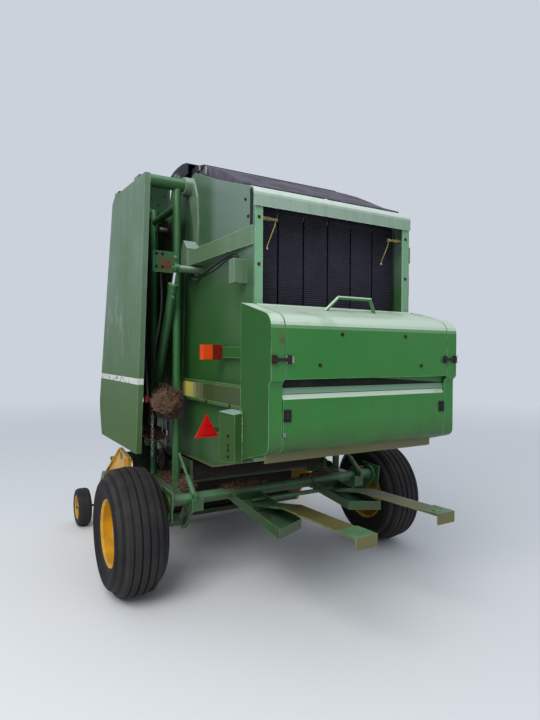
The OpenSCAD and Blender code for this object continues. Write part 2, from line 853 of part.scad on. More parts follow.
module front_beam() {
    hood = [[500, 3074], [545, 3010], [628, 2775], [775, 2265]];
    color("#3f8a45") place() {
        block([-inner_x, inner_x], [1020, 1120], [1100, 1200]);
        along_x(-inner_x, inner_x)
            polygon(concat(hood, [for (i = [3:-1:0]) [hood[i][0] - 4, hood[i][1] - 2]]));
        along_x(-inner_x, inner_x) polygon([[771, 2263], [775, 2265], [768, 2235], [764, 2235]]);
    }
}

jack_x = -300;
jack_y = 2300;
jack_r = 38;
jack_leg_r = 30;

module drawbar() {
    color("#3f8a45") place() {
        difference() {
            for (side = sides) bar(beam_start(side), beam_end(side), 70, beam_h);
            block([-inner_x, inner_x], [1020, 1120], [1000, 1300]);
        }
        difference() {
            block([-60, 60], [hitch_y - 240, hitch_y + 45], [hitch_z - 40, hitch_z + 40]);
            block([-70, 70], [hitch_y - 60, hitch_y + 60], [hitch_z - 18, hitch_z + 18]);
            translate([0, hitch_y, 0]) cylinder(r = hitch_pin_d / 2, h = 1000);
        }
        difference() {
            translate([jack_x + 5, jack_y - 30, beam_zed(jack_y) - 40])
                cube([-beam_x(jack_y) - jack_x - 5, 60, 80]);
            translate([jack_x, jack_y, 0]) cylinder(r = jack_r + eps, h = 1500);
        }
    }
}

function beam_start(side) = [side * 430, 1120, 1150];
function beam_end(side) = [side * 60, hitch_y - 180, hitch_z + 60];
function beam_x(y) =
    let (p = beam_start(right), q = beam_end(right)) p[0] + (q[0] - p[0]) * (y - p[1]) / (q[1] - p[1]);
function beam_zed(y) =
    let (p = beam_start(right), q = beam_end(right)) p[2] + (q[2] - p[2]) * (y - p[1]) / (q[1] - p[1]);

module jack_tube() {
    color("#3f8a45") place() translate([jack_x, jack_y, 330]) {
        difference() {
            cylinder(r = jack_r, h = 620);
            translate([0, 0, -1]) cylinder(r = jack_leg_r + run_gap, h = 600);
        }
        translate([0, 0, 619]) cylinder(r = 26, h = 22);
        rod([0, 0, 560], [-105, 0, 560], 10);
        rod([-105, 0, 560], [-105, 0, 470], 9);
        rod([-105, 0, 478], [-190, 0, 478], 13);
    }
}

module jack_leg() {
    color("#8a8f92") place() translate([jack_x, jack_y, 0]) {
        translate([-90, -90, 0]) cube([180, 180, 10]);
        cylinder(r = jack_leg_r, h = 560);
    }
}

counter_y = 1175;
counter_z = 1045;
input_r = 17.5;
shaft_len = 1290;

module gearbox() {
    color("#3f8a45") place() {
        along_x(-95, 95) polygon([
            [1132, 1010], [1132, 1230], [1170, 1250], [1280, 1250], [1322, 1205], [1322, 1050],
            [1285, 1000], [1170, 990]]);
        block([-125, 125], [1120, 1134], [985, 1255]);
        rod(shaft_at(-30), shaft_at(6), 68);
        both_sides() tube_x(1225, 1120, 62, 90, 112);
        tube_x(counter_y, counter_z, 25, -body_x - 107, 0);
        tube_x(counter_y, counter_z, 30, 13 - body_x, -90);
        translate([0, 1225, 1245]) cylinder(r = 16, h = 24);
        rod(shaft_at(-20), shaft_at(80), input_r);
    }
}

// A point on the drive shaft's axis, d ahead of the gearbox's front face
function shaft_at(d) = [0, 1330, 1120] + d * [0, 1320, -220] / norm([0, 1320, -220]);

module drive_shaft() {
    color("#1f1f22") place() difference() {
        translate(shaft_at(0)) rotate([-90 - shaft_slope, 0, 0]) union() {
            rotate_extrude() polygon([
                [0, 10], [38, 10], [38, 40], [62, 44], [62, 60], [56, 150], [44, 200], [40, 215], [40, 640],
                [46, 645], [46, shaft_len - 215], [50, shaft_len - 200], [68, shaft_len - 120],
                [70, shaft_len - 60], [60, shaft_len - 60], [38, shaft_len - 70], [38, shaft_len],
                [0, shaft_len]]);
            for (z = [235, shaft_len - 240]) translate([0, 0, z]) cylinder(r = 50, h = 14);
        }
        rod(shaft_at(0), shaft_at(85), input_r + run_gap);
        rod(shaft_at(shaft_len - 60), shaft_at(shaft_len + 10), input_r);
    }
}

shaft_slope = atan2(220, 1320);

module drive_chains() {
    low = [[counter_y, counter_z, 70], [start_rolls[0][0], start_rolls[0][1], 90]];
    high = [[start_rolls[0][0], start_rolls[0][1], 60], [front_runs[2][0], front_runs[2][1], 60]];
    color("#5a5550") place() {
        chain(low, -body_x - 55, 25);
        chain(high, -body_x - 25, shaft_d / 2);
    }
}

// Two sprockets and the chain round them, in the plane x
module chain(table, x, bore) {
    for (side = sides) along_x(x + side * 6.5 - 1.5, x + side * 6.5 + 1.5) difference() {
        polygon(belt_outline(table, 9, 10));
        polygon(belt_outline(table, -3, 10));
    }
    for (k = [0, 1]) chain_rollers(table[k], table[1 - k], x);
    along_x(x - 5, x + 5) difference() {
        union() for (p = table) polygon(teeth([p[0], p[1]], p[2], round(p[2] / 5)));
        translate([table[0][0], table[0][1]]) circle(r = bore + eps);
        translate([table[1][0], table[1][1]]) circle(r = shaft_d / 2 + eps);
    }
}

// Outline of a sprocket with n teeth
function teeth(c, r, n) =
    [for (k = [0:4 * n - 1]) c + (k % 4 < 2 ? r + 2 : r - 6) * [cos(90 * k / n), sin(90 * k / n)]];

// The rollers on the straight run of a chain from sprocket p to sprocket q
module chain_rollers(p, q, x) {
    a = run_normal(p, q, 0);
    from = [p[0], p[1]] + (p[2] + 3) * [cos(a), sin(a)];
    to = [q[0], q[1]] + (q[2] + 3) * [cos(a), sin(a)];
    count = floor(norm(to - from) / 50);
    for (k = [0:count]) {
        at = from + (to - from) * k / count;
        tube_x(at[0], at[1], 5, x - 8, x + 8);
    }
}

module tension_springs() {
    spring_x = body_x + 47;
    spring_y = 480;
    low = 1330;
    high = 2220;
    coils = 44;
    pitch = (high - low) / coils;
    wire = pitch / 2;
    color("#5a5550") place() on_side(right) {
        translate([spring_x, spring_y, 0]) rotate_extrude() polygon([
            [0, low], for (k = [0:coils - 1]) each arc([22, low + (k + 0.5) * pitch], wire, -80, 80, 3),
            [0, high]]);
        rod([spring_x, spring_y, 1290], [spring_x, spring_y, 2260], 9);
        for (z = [1280, 2270]) tube_x(spring_y, z, 30, body_x, spring_x + 30);
    }
}

band_end = 1080;
band_high_z = reel_z + band_r - 1.5;
band_low_z = reel_z - band_r + 1.5;
guard_hinge = [1100, 680];
guard_pin_r = 12;
gauge_pin_r = 12;

module pickup_frame() {
    half = pickup_w / 2;
    color("#3f8a45") place() {
        for (z = [band_low_z, band_high_z]) block([-half, half], [band_end - 40, band_end], [z - 20, z + 20]);
        along_x(-half, half) polygon([
            [band_end - 20, band_high_z - 4], [band_end - 20, band_high_z + 4], [930, 604], [926, 598]]);
        both_sides() {
            tube_x(gauge_y, gauge_d / 2, gauge_pin_r, half + 70, gauge_x + gauge_w / 2);
            along_x(half + 60, half + 80) polygon(concat(
                arc([gauge_y, gauge_d / 2], 34, -120, 60, 8), arc([1290, 520], 40, 60, 240, 8)));
            tube_x(1290, 520, 25, half + 10, half + 70);
        }
    }
}

function shield_edge(inset) = concat(
    [[600 + inset, 600], [620 + inset, 790 - inset], [pickup_hinge_y, 830 - inset]],
    arc([reel_y, reel_z], 230 - inset, 70, -120, 12),
    [[1040, 100 + inset], [760 + inset, 560 + inset]]);

module pickup_shields() {
    half = pickup_w / 2;
    color("#e3b928") place() both_sides() {
        along_x(half, half + 10) difference() {
            polygon(shield_edge(0));
            translate([reel_y, reel_z]) circle(r = 20 + run_gap);
            translate([pickup_hinge_y, pickup_hinge_z]) circle(r = pickup_hinge_r + run_gap);
            translate(guard_hinge) circle(r = guard_pin_r + run_gap);
        }
        along_x(half + 10, half + 30) difference() {
            polygon(shield_edge(0));
            polygon(shield_edge(6));
        }
        for (y = [700, 760]) block([half + 10, half + 22], [y, y + 12], [620, 760]);
    }
}

module pickup_bands() {
    count = floor((pickup_w - 40) / tine_pitch);
    centre = [reel_y, reel_z];
    color("#5a7a4a") place() for (i = [0:count - 1]) {
        x = (i - (count - 1) / 2) * tine_pitch;
        along_x(x - tine_pitch / 2 + 12, x + tine_pitch / 2 - 12) polygon(concat(
            arc(centre, band_r, -90, 90, 12),
            [[band_end, reel_z + band_r], [band_end, reel_z + band_r - 3]],
            arc(centre, band_r - 3, 90, -90, 12),
            [[band_end, reel_z - band_r + 3], [band_end, reel_z - band_r]]));
    }
}

// Outline of the tine that stands at angle a on the reel, swept back toward its tip
function tine_outline(a) = [
    for (p = [[130, 3], [170, 3], [210, 7], [tine_r, 13], [tine_r - 1, 18], [208, 13], [168, 9], [130, 9]])
        [reel_y + p[0] * cos(a) + (p[1] - 6) * sin(a), reel_z + p[0] * sin(a) - (p[1] - 6) * cos(a)],
];

module pickup_reel() {
    half = pickup_w / 2;
    bar_r = band_r - 40;
    count = floor((pickup_w - 40) / tine_pitch) - 1;
    color("#6a6a60") place() {
        tube_x(reel_y, reel_z, 20, -half - 10, half + 10);
        for (b = [0:bar_count - 1]) {
            a = b * 360 / bar_count + 20;
            c = [reel_y + bar_r * cos(a), reel_z + bar_r * sin(a)];
            tube_x(c[0], c[1], 12, 10 - half, half - 10);
            for (i = [0:count - 1]) {
                x = (i - (count - 1) / 2) * tine_pitch;
                along_x(x - tine_d / 2, x + tine_d / 2) polygon(tine_outline(a));
            }
        }
        for (x = [10 - half, (20 - half) / 3, (half - 20) / 3, half - 20]) tube_x(reel_y, reel_z, bar_r + 14, x, x + 8);
    }
}

module gauge_wheel(side) {
    r = gauge_d / 2;
    w = gauge_w / 2;
    bore = gauge_pin_r + run_gap;
    color("#e3b928") place() on_side(side) translate([gauge_x, gauge_y, r]) rotate([0, 90, 0])
        rotate_extrude() polygon([
            [bore, -45], [32, -45], [32, -16], [88, -20], [100, 12 - w], [112, 5 - w], [118, 7 - w],
            [140, -w], [160, 6 - w], [r - 3, 22 - w], [r, 32 - w], [r, w - 32], [r - 3, w - 22],
            [160, w - 6], [140, w],
            [118, w - 7], [112, w - 5], [100, w - 12], [92, -10], [32, -6], [32, 45], [bore, 45]]);
}

module left_gauge_wheel() {
    gauge_wheel(left);
}

module right_gauge_wheel() {
    gauge_wheel(right);
}

module windguard() {
    half = pickup_w / 2;
    guard_bar = [1420, 640];
    color("#3f8a45") place() {
        tube_x(guard_hinge[0], guard_hinge[1], guard_pin_r, -half - 10, half + 10);
        tube_x(guard_bar[0], guard_bar[1], 20, -half + 20, half - 20);
        for (k = [-3:2:3]) {
            x = k * (half - 140) / 3;
            rod([x, guard_hinge[0], guard_hinge[1]], [x, guard_bar[0], guard_bar[1]], 10);
        }
        for (k = [-8:8]) {
            x = k * (half - 88) / 8;
            rod([x, guard_bar[0], guard_bar[1]], [x, 1130, 568], 5);
        }
    }
}

module bale_ramp() {
    color("#7d7346") place() {
        on_side(left) ramp_arm(ramp_left_x, ramp_rear, 868);
        on_side(right) ramp_arm(ramp_right_x, ramp_rear_right, 738);
        tube_x(-300, 590, 16, -ramp_left_x - 20, ramp_right_x + 20);
    }
}

// One arm at x with its tip at y = -rear, and the open channel below it that ends at y = -channel_end
module ramp_arm(x, rear, channel_end) {
    half = ramp_arm_w / 2;
    arm = [[-rear, 706], [700 - rear, 679], [1075 - rear, 600]];
    mid = x + 20;
    wide = 108;
    along_x(x - half, x + half)
        polygon(concat(arm, [for (i = [2:-1:0]) [arm[i][0], arm[i][1] - 10]]));
    along_x(x - half - 2, x + half + 2) polygon([
        [-rear - 6, 712], [150 - rear, 706], [150 - rear, 700.2], [-rear, 706], [-rear, 646],
        [-rear - 6, 646]]);
    for (s = sides) translate([x + 27 * s, 65 - rear, 700]) cylinder(r = 10, h = 15);
    block([x - half, x + half], [1035 - rear, 1075 - rear], [552, 592]);
    difference() {
        union() {
            ramp_channel(mid, wide, channel_end, 0);
            tube_x(cross_y, cross_z, cross_r + 12, mid - wide, mid + wide);
        }
        ramp_channel(mid, wide, channel_end, 6);
        tube_x(cross_y, cross_z, cross_r + run_gap, mid - wide - 1, mid + wide + 1);
    }
}

// The block of a channel round x, or the hollow in it when wall is its thickness
module ramp_channel(x, wide, end, wall) {
    w = wide - wall;
    front = -200 - 6 * wall;
    intersection() {
        along_x(x - w, x + w) polygon([
            [front, 576 + wall], [front, 636 + 2 * wall], [-880, 569 + 2 * wall], [-880, 509 + wall]]);
        linear_extrude(900) polygon([
            [x - w, front + 1], [x - w, 90 - end + wall], [x + w, wall - end], [x + w, front + 1]]);
    }
}

lower_frame();
hinge_tube();
left_posts();
right_posts();
chassis_walls();
front_beam();
drawbar();
lift_hose();
feed_hose();
arm_hose();
jack_tube();
jack_leg();
gearbox();
drive_shaft();
front_rollers();
front_belts();
starter_rolls();
drive_chains();
tension_springs();
tailgate_walls();
tailgate_frame();
tailgate_cap();
top_cover();
tailgate_rollers();
tailgate_belts();
hinge_arms();
side_channels();
tail_lamps();
warning_triangle();
side_boxes();
net_box();
net_rollers();
net_lid();
net_door();
left_shield();
right_shield();
left_barrel();
left_rod();
right_barrel();
right_rod();
left_tyre();
left_rim();
right_tyre();
right_rim();
pickup_frame();
pickup_shields();
pickup_bands();
pickup_reel();
left_gauge_wheel();
right_gauge_wheel();
windguard();
bale_ramp();
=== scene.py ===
# %% [markdown]
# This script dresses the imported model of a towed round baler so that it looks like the
# weathered machine in a field yard. It loads the solid frame first. Every piece made later
# is in metres in that same frame, with +Y to the tractor, +X to the right and +Z up.

import math
import random

import bmesh
import bpy
from mathutils import Matrix, Vector


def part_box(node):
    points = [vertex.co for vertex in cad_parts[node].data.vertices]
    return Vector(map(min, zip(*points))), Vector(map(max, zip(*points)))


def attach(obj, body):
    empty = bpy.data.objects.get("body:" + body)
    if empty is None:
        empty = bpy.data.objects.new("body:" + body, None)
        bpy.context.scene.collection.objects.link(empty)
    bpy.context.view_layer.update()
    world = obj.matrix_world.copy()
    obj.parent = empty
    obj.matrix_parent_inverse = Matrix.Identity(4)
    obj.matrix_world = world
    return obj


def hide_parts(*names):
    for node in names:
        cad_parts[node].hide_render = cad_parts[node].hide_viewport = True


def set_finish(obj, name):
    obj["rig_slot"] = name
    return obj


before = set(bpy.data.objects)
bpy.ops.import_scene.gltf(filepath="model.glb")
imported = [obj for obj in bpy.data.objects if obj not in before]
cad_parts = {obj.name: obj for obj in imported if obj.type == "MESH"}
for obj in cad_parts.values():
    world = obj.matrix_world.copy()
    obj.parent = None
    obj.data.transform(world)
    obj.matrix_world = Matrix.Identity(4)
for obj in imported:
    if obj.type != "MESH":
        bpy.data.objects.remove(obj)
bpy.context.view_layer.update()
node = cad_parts

# The drawings of this machine give places from the ground under the axle. The frame's
# own origin lies ahead of the axle, so such a place is moved back by the axle's distance.
tyre_low, tyre_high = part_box("left_tyre")
AXLE = -(tyre_low[1] + tyre_high[1]) / 2
REAR = (0, -1, 0)
SIDES = ((-1, "left"), (1, "right"))
ALONG_X = (0, math.radians(90), 0)


def at(x, y, z):
    """A place given from under the axle, in the frame's own metres."""
    return Vector((x, y - AXLE, z))


print("the axle lies", round(AXLE, 4), "m behind the origin")


# %% Small helpers
def rounded(lengths):
    """Lengths to the millimetre, for the prints."""
    return [round(length, 3) for length in lengths]


def only(piece):
    """Selects one piece alone and makes it the active one."""
    bpy.ops.object.select_all(action="DESELECT")
    piece.select_set(True)
    bpy.context.view_layer.objects.active = piece


def add_object(name, data):
    """A new object in the scene, for a curve, a mesh, a camera or a lamp."""
    piece = bpy.data.objects.new(name, data)
    bpy.context.scene.collection.objects.link(piece)
    return piece


def new_curve(name, radius, resolution, capped=True):
    """An empty curve with a round section."""
    curve = bpy.data.curves.new(name, "CURVE")
    curve.dimensions = "3D"
    curve.bevel_depth = radius
    curve.bevel_resolution = resolution
    curve.use_fill_caps = capped
    return curve


print("the left tyre is", rounded(node["left_tyre"].dimensions), "m")


# %% [markdown]
# The camera stands where the photographer stood: behind the machine and to its left, at
# chest height, and looks slightly down. Its place and turn were fitted to the tyres, the
# chamber walls and the belt gaps, so a known size on the machine lands where it should.

# %% Set the camera
def stand_camera(place, yaw, pitch, roll, focal_pixels, frame_height):
    """Adds the camera; yaw turns right from +Y, pitch is down, all in degrees."""
    yaw, pitch, roll = (math.radians(a) for a in (yaw, pitch, roll))
    ahead = Vector((math.sin(yaw) * math.cos(pitch), math.cos(yaw) * math.cos(pitch), -math.sin(pitch)))
    level_right = Vector((math.cos(yaw), -math.sin(yaw), 0))
    level_up = level_right.cross(ahead)
    right = math.cos(roll) * level_right + math.sin(roll) * level_up
    up = -math.sin(roll) * level_right + math.cos(roll) * level_up
    turn = Matrix((right, up, -ahead)).transposed().to_4x4()
    data = bpy.data.cameras.new("camera")
    data.sensor_fit = "VERTICAL"
    data.sensor_height = 36
    data.lens = 36 * focal_pixels / frame_height
    camera = add_object("camera", data)
    camera.matrix_world = Matrix.Translation(place) @ turn
    bpy.context.scene.camera = camera
    return camera


camera = stand_camera(at(-2.0255, -3.5177, 1.6287), 29.97, 0.66, 0.29, 516.27, 720)
print("camera lens", round(camera.data.lens, 2), "mm")

# %% [markdown]
# Four hydraulic hoses are the machine's free cords. Each is fixed at both ends, so its length
# is that of its route. The first three routes repeat the points of the solid model, and the
# fourth hangs under the arm beside the third. They are in millimetres from under the axle,
# with one more point put between each pair so that the bends run smoothly.

# %% The hoses
def between(points):
    """The points, with one more between each pair, on a smooth curve through them all."""
    full = [points[0]]
    for k in range(len(points) - 1):
        before, after = points[max(k - 1, 0)], points[min(k + 2, len(points) - 1)]
        full.append(0.5625 * (points[k] + points[k + 1]) - 0.0625 * (before + after))
        full.append(points[k + 1])
    return full


def lay_hose(name, route, diameter, body, stands_for=None):
    """A hose along a route in millimetres, as one open curve that rides on a body."""
    points = between([at(x / 1000, y / 1000, z / 1000) for x, y, z in route])
    curve = new_curve(name, radius=1.0, resolution=4)
    curve.resolution_u = 6
    spline = curve.splines.new("BEZIER")
    spline.bezier_points.add(len(points) - 1)
    for knot, point in zip(spline.bezier_points, points):
        knot.co = point
        knot.radius = diameter / 2
        knot.handle_left_type = knot.handle_right_type = "AUTO"
    piece = add_object(name, curve)
    bpy.context.view_layer.update()
    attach(piece, body)
    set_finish(piece, "hose_rubber")
    if stands_for:
        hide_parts(stands_for)
    return piece


lift_line = lay_hose("lift_line", [
    (-850, 200, 1345), (-850, 200, 1400), (-868, 175, 1470), (-892, 130, 1560), (-900, 85, 1650),
    (-893, 45, 1750), (-878, 25, 1870), (-866, 30, 1990), (-860, 50, 2090), (-858, 69, 2150),
    (-858, 69, 2206)], 0.018, "chassis", "lift_hose")
feed_line = lay_hose("feed_line", [
    (-896, 10, 1260), (-924, 10, 1267), (-948, 13, 1286), (-961, 24, 1322), (-961, 48, 1385),
    (-956, 84, 1465), (-953, 120, 1570), (-948, 190, 1690), (-935, 290, 1770), (-910, 420, 1795),
    (-885, 560, 1782), (-878, 640, 1775)], 0.016, "chassis", "feed_hose")
arm_line = lay_hose("arm_line", [
    (-665, -34, 2240), (-665, -38, 2206), (-662, -62, 2177), (-656, -112, 2165), (-652, -200, 2172),
    (-650, -300, 2188), (-649, -400, 2205), (-648, -500, 2221), (-648, -600, 2233), (-648, -680, 2237),
    (-648, -728, 2223), (-648, -752, 2190)], 0.012, "tailgate", "arm_hose")
under_arm_line = lay_hose("under_arm_line", [
    (-690, -20, 2242), (-690, -24, 2210), (-687, -44, 2172), (-680, -90, 2142), (-672, -160, 2136),
    (-664, -240, 2152), (-660, -320, 2164), (-662, -400, 2168), (-664, -480, 2178), (-664, -560, 2196),
    (-664, -640, 2212), (-664, -700, 2216), (-664, -740, 2206), (-664, -757, 2182)], 0.011, "tailgate")


# %% [markdown]
# Every material below is a small tree of nodes. These functions add one node each, and take a
# number, an sRGB colour or another node's output for each of its inputs.

# %% Functions for nodes and colours
def linear(code):
    """Turns an sRGB hex colour into the linear values that Blender's sockets take."""
    parts = [int(code.lstrip("#")[k:k + 2], 16) / 255 for k in (0, 2, 4)]
    return tuple(p / 12.92 if p <= 0.04045 else ((p + 0.055) / 1.055) ** 2.4 for p in parts) + (1,)


def add_node(tree, kind, **values):
    """Adds a node. A value is a field's setting, or with in_ before its name, an input's."""
    made = tree.nodes.new("ShaderNode" + kind)
    for name, value in values.items():
        if not name.startswith("in_"):
            setattr(made, name, value)
            continue
        key = name[3:]
        socket = made.inputs[int(key)] if key.isdigit() else made.inputs[key.replace("_", " ")]
        if isinstance(value, bpy.types.NodeSocket):
            tree.links.new(value, socket)
        else:
            socket.default_value = linear(value) if isinstance(value, str) else value
    return made


def output_of(tree, kind, output=0, **values):
    """Adds a node and returns one of its outputs."""
    return add_node(tree, kind, **values).outputs[output]


def calculate(tree, operation, *values):
    inputs = {"in_" + str(k): value for k, value in enumerate(values)}
    return output_of(tree, "Math", operation=operation, **inputs)


def ramp(tree, value, start, end, least=0.0, most=1.0, **settings):
    """Turns a value between start and end into one between least and most."""
    return output_of(tree, "MapRange", in_Value=value, in_1=start, in_2=end, in_3=least,
                     in_4=most, **settings)


def axis_value(tree, axis, system="Object"):
    place = output_of(tree, "TexCoord", system)
    return output_of(tree, "SeparateXYZ", axis, in_0=place)


def cover(tree, under, over, *amounts):
    """Lays the colour over onto the colour under, by the product of the amounts."""
    amount = amounts[0]
    for other in amounts[1:]:
        amount = calculate(tree, "MULTIPLY", amount, other)
    return output_of(tree, "Mix", 2, data_type="RGBA", in_0=amount, in_6=under, in_7=over)


def new_tree(owner):
    """The emptied node tree of a new material or world."""
    owner.use_nodes = True
    owner.node_tree.nodes.clear()
    return owner.node_tree


def new_material(name):
    material = bpy.data.materials.new(name)
    return material, new_tree(material)


print("a colour in linear values:", rounded(linear("#2f7a3c")[:3]))

# %% [markdown]
# A plain pale floor and a pale backdrop stand in for the field. The world lights the machine
# evenly, as an overcast sky does, and one wide lamp from behind the camera's left gives the
# forms a soft light and dark side. The camera, mirrors and glass see a paler world than the
# one that lights, so the background stays clean without more light on the machine.

# %% Floor, world and lamp
BACKDROP = "#ccd2dc"


def hang_the_sky():
    world = bpy.data.worlds.new("overcast")
    bpy.context.scene.world = world
    tree = new_tree(world)
    path = add_node(tree, "LightPath").outputs
    seen = calculate(tree, "MAXIMUM", path["Is Camera Ray"], path["Is Transmission Ray"])
    seen = calculate(tree, "MAXIMUM", seen, path["Is Glossy Ray"])
    strength = ramp(tree, axis_value(tree, "Z", "Generated"), -0.1, 0.9, 0.30, 0.95)
    lit = output_of(tree, "Background", in_Color="#dce4f2", in_Strength=strength)
    backdrop = output_of(tree, "Background", in_Color=BACKDROP, in_Strength=1.0)
    both = output_of(tree, "MixShader", in_0=seen, in_1=lit, in_2=backdrop)
    add_node(tree, "OutputWorld", in_Surface=both)


def lay_the_floor():
    """A matt floor that fades into the backdrop between 4 and 16 m away."""
    bpy.ops.mesh.primitive_plane_add(size=240, location=(0, 0, 0))
    floor = bpy.context.object
    floor.name = "floor"
    material, tree = new_material("pale floor")
    paper = output_of(tree, "BsdfPrincipled", in_Base_Color="#e3e4e2", in_Roughness=0.9)
    place = output_of(tree, "TexCoord", "Object")
    distance = output_of(tree, "VectorMath", "Value", operation="LENGTH", in_0=place)
    far = ramp(tree, distance, 4.0, 16.0, interpolation_type="SMOOTHSTEP")
    seen = calculate(tree, "MULTIPLY", far, output_of(tree, "LightPath", "Is Camera Ray"))
    haze = output_of(tree, "Emission", in_Color=BACKDROP, in_Strength=1.0)
    blend = output_of(tree, "MixShader", in_0=seen, in_1=paper, in_2=haze)
    add_node(tree, "OutputMaterial", in_Surface=blend)
    floor.data.materials.append(material)
    return floor


def hang_the_lamp():
    data = bpy.data.lights.new("soft lamp", "AREA")
    data.shape = "RECTANGLE"
    data.size = data.size_y = 5
    data.energy = 420
    lamp = add_object("soft lamp", data)
    lamp.location = (-5.0, -4.5, 6.5)
    aim = Vector((0, -0.6, 1.4)) - lamp.location
    lamp.rotation_euler = aim.to_track_quat("-Z", "Y").to_euler()


hang_the_sky()
stage_floor = lay_the_floor()
hang_the_lamp()
bpy.context.scene.view_settings.view_transform = "Standard"
print("floor", stage_floor.dimensions[:2])


# %% [markdown]
# The sheet metal is enamelled steel: a hard, fairly glossy paint over pressed plate. Years
# outside pale the faces that look up, fade the rest in patches, and draw faint streaks down
# it. That paler top is partly sun-faded paint and partly painted sky light. Edges and folds are
# paler, partly from wear and partly as a painted highlight where they catch the light, and dust
# and rust gather low down. Each of those is one noise or gradient on Object coordinates, in real
# millimetres, mixed over the paint.

# %% Patterns that the finishes share
def blotches(tree, size_mm, low, high, stretch=(1, 1, 1), detail=4, shift=0):
    """A soft-edged pattern from 0 to 1 whose patches are about size_mm across."""
    place = output_of(tree, "TexCoord", "Object")
    moved = output_of(tree, "Mapping", in_Vector=place, in_Location=(shift, shift, shift),
                      in_Scale=stretch)
    noise = output_of(tree, "TexNoise", "Fac", in_Vector=moved, in_Scale=1000 / size_mm,
                      in_Detail=detail, in_Roughness=0.6)
    return ramp(tree, noise, low, high)


def worn_edges(tree, width_mm):
    """1 on edges, 0 on flats: the rounded normal differs from the true one there."""
    soft = output_of(tree, "Bevel", samples=6, in_Radius=width_mm / 1000)
    flat = output_of(tree, "NewGeometry", "Normal")
    match = output_of(tree, "VectorMath", "Value", operation="DOT_PRODUCT", in_0=soft, in_1=flat)
    return ramp(tree, match, 0.97, 0.80)


def low_down(tree, bottom, top, axis="Z"):
    """1 at the place bottom on an axis, falling to 0 at the place top, both in metres."""
    return ramp(tree, axis_value(tree, axis), top, bottom)


def looks_up(tree):
    """1 on faces that look up to the sky, 0 on upright and lower ones."""
    normal = output_of(tree, "NewGeometry", "Normal")
    return ramp(tree, output_of(tree, "SeparateXYZ", "Z", in_0=normal), 0.05, 0.35)


def within(tree, axis, low, high, soft):
    """1 between two places on an axis, with edges that are soft metres wide."""
    rise = ramp(tree, axis_value(tree, axis), low, low + soft)
    fall = ramp(tree, axis_value(tree, axis), high, high - soft)
    return calculate(tree, "MULTIPLY", rise, fall)


def finish_shader(tree, colour, roughness, bump_height, bump_mm, metallic=0.0, **fixed):
    bump = output_of(tree, "Bump", in_Height=bump_height, in_Distance=bump_mm / 1000)
    shader = output_of(tree, "BsdfPrincipled", in_Base_Color=colour, in_Roughness=roughness,
                       in_Normal=bump, in_Metallic=metallic, **fixed)
    add_node(tree, "OutputMaterial", in_Surface=shader)


print("patterns are ready")

# %% Weathered paint
GRIME, RUST = "#4f4630", "#63331d"


def weathered_paint(name, paint, faded, edge, dirt=0.35, rusty=0.25, top=None, span=(0.9, 2.9),
                    bleach_and_sky_light=None, bleached=0.0, marks=(), chalky=False):
    """Enamel from paint low down to the colour top high up. Each of marks adds its own colour.
    Chalky enamel has lost its gloss to the sun, so it hardly mirrors the sky."""
    material, tree = new_material(name)
    patches = blotches(tree, 700, 0.35, 0.68)
    colour = cover(tree, paint, top, low_down(tree, span[1], span[0])) if top else paint
    colour = cover(tree, colour, faded, patches, 0.6)
    streaks = blotches(tree, 60, 0.50, 0.75, stretch=(1, 1, 0.06), shift=3)
    colour = cover(tree, colour, GRIME, streaks, 0.22)
    # Faces that look up turn paler: partly sun-faded paint, partly painted sky light on the tops.
    if bleach_and_sky_light:
        sun = blotches(tree, 240, 0.05, 0.45, detail=6, shift=9)
        colour = cover(tree, colour, bleach_and_sky_light, looks_up(tree), sun, bleached)
    for mark in marks:
        colour = mark(tree, colour)
    # Paler edges: partly worn paint, partly a painted highlight where the edges catch the light.
    colour = cover(tree, colour, edge, worn_edges(tree, 6), blotches(tree, 90, 0.3, 0.5, shift=5))
    mud = blotches(tree, 120, 0.38, 0.62, shift=7)
    colour = cover(tree, colour, GRIME, low_down(tree, 0.3, 1.5), mud, dirt)
    colour = cover(tree, colour, RUST, blotches(tree, 26, 0.66, 0.72, detail=6, shift=11), rusty)
    smooth, dull, mirror = (0.50, 0.70, 0.15) if chalky else (0.34, 0.52, 0.5)
    dents = blotches(tree, 260, 0.2, 0.8, detail=2, shift=2)
    finish_shader(tree, colour, ramp(tree, patches, 0, 1, smooth, dull), dents, 1.2, in_IOR=1.5,
                  in_Specular_IOR_Level=mirror)
    return material


def rust_mark(x, z, size_mm=40, strength=0.9, colour="#5b3320", axis="X", soft=0.03):
    """A rusty patch between two X (or Y) and two heights, broken up by a noise."""
    return lambda tree, paint: cover(
        tree, paint, colour, within(tree, axis, *x, soft), within(tree, "Z", *z, 0.05),
        blotches(tree, size_mm, 0.42, 0.56, detail=6, shift=13), strength)


def stripe_mark(colour, z):
    """A painted stripe between two heights on the outer faces, worn through in small flecks."""
    return lambda tree, paint: cover(
        tree, paint, colour, within(tree, "Z", *z, 0.002),
        blotches(tree, 30, 0.62, 0.56, detail=6, shift=17), 0.9)


def scuffs(z, strength, colour):
    """Sparse, soft-edged scuffs, drawn out downward, between two heights."""
    return lambda tree, paint: cover(
        tree, paint, colour, within(tree, "Z", *z, 0.35),
        blotches(tree, 150, 0.54, 0.72, stretch=(1, 1, 0.5), detail=8, shift=21), strength)


def grime_below(z, strength, colour):
    """Grime that starts at the upper height and is full at the lower one."""
    return lambda tree, paint: cover(
        tree, paint, colour, low_down(tree, *z), blotches(tree, 160, 0.15, 0.55, shift=19), strength)


def sky_sheen(y, z, strength, colour):
    """A painted reflection of the sky: a pale bloom between two Y and two heights."""
    return lambda tree, paint: cover(
        tree, paint, colour, within(tree, "Y", y[0] - AXLE, y[1] - AXLE, 0.12), within(tree, "Z", *z, 0.30),
        strength)


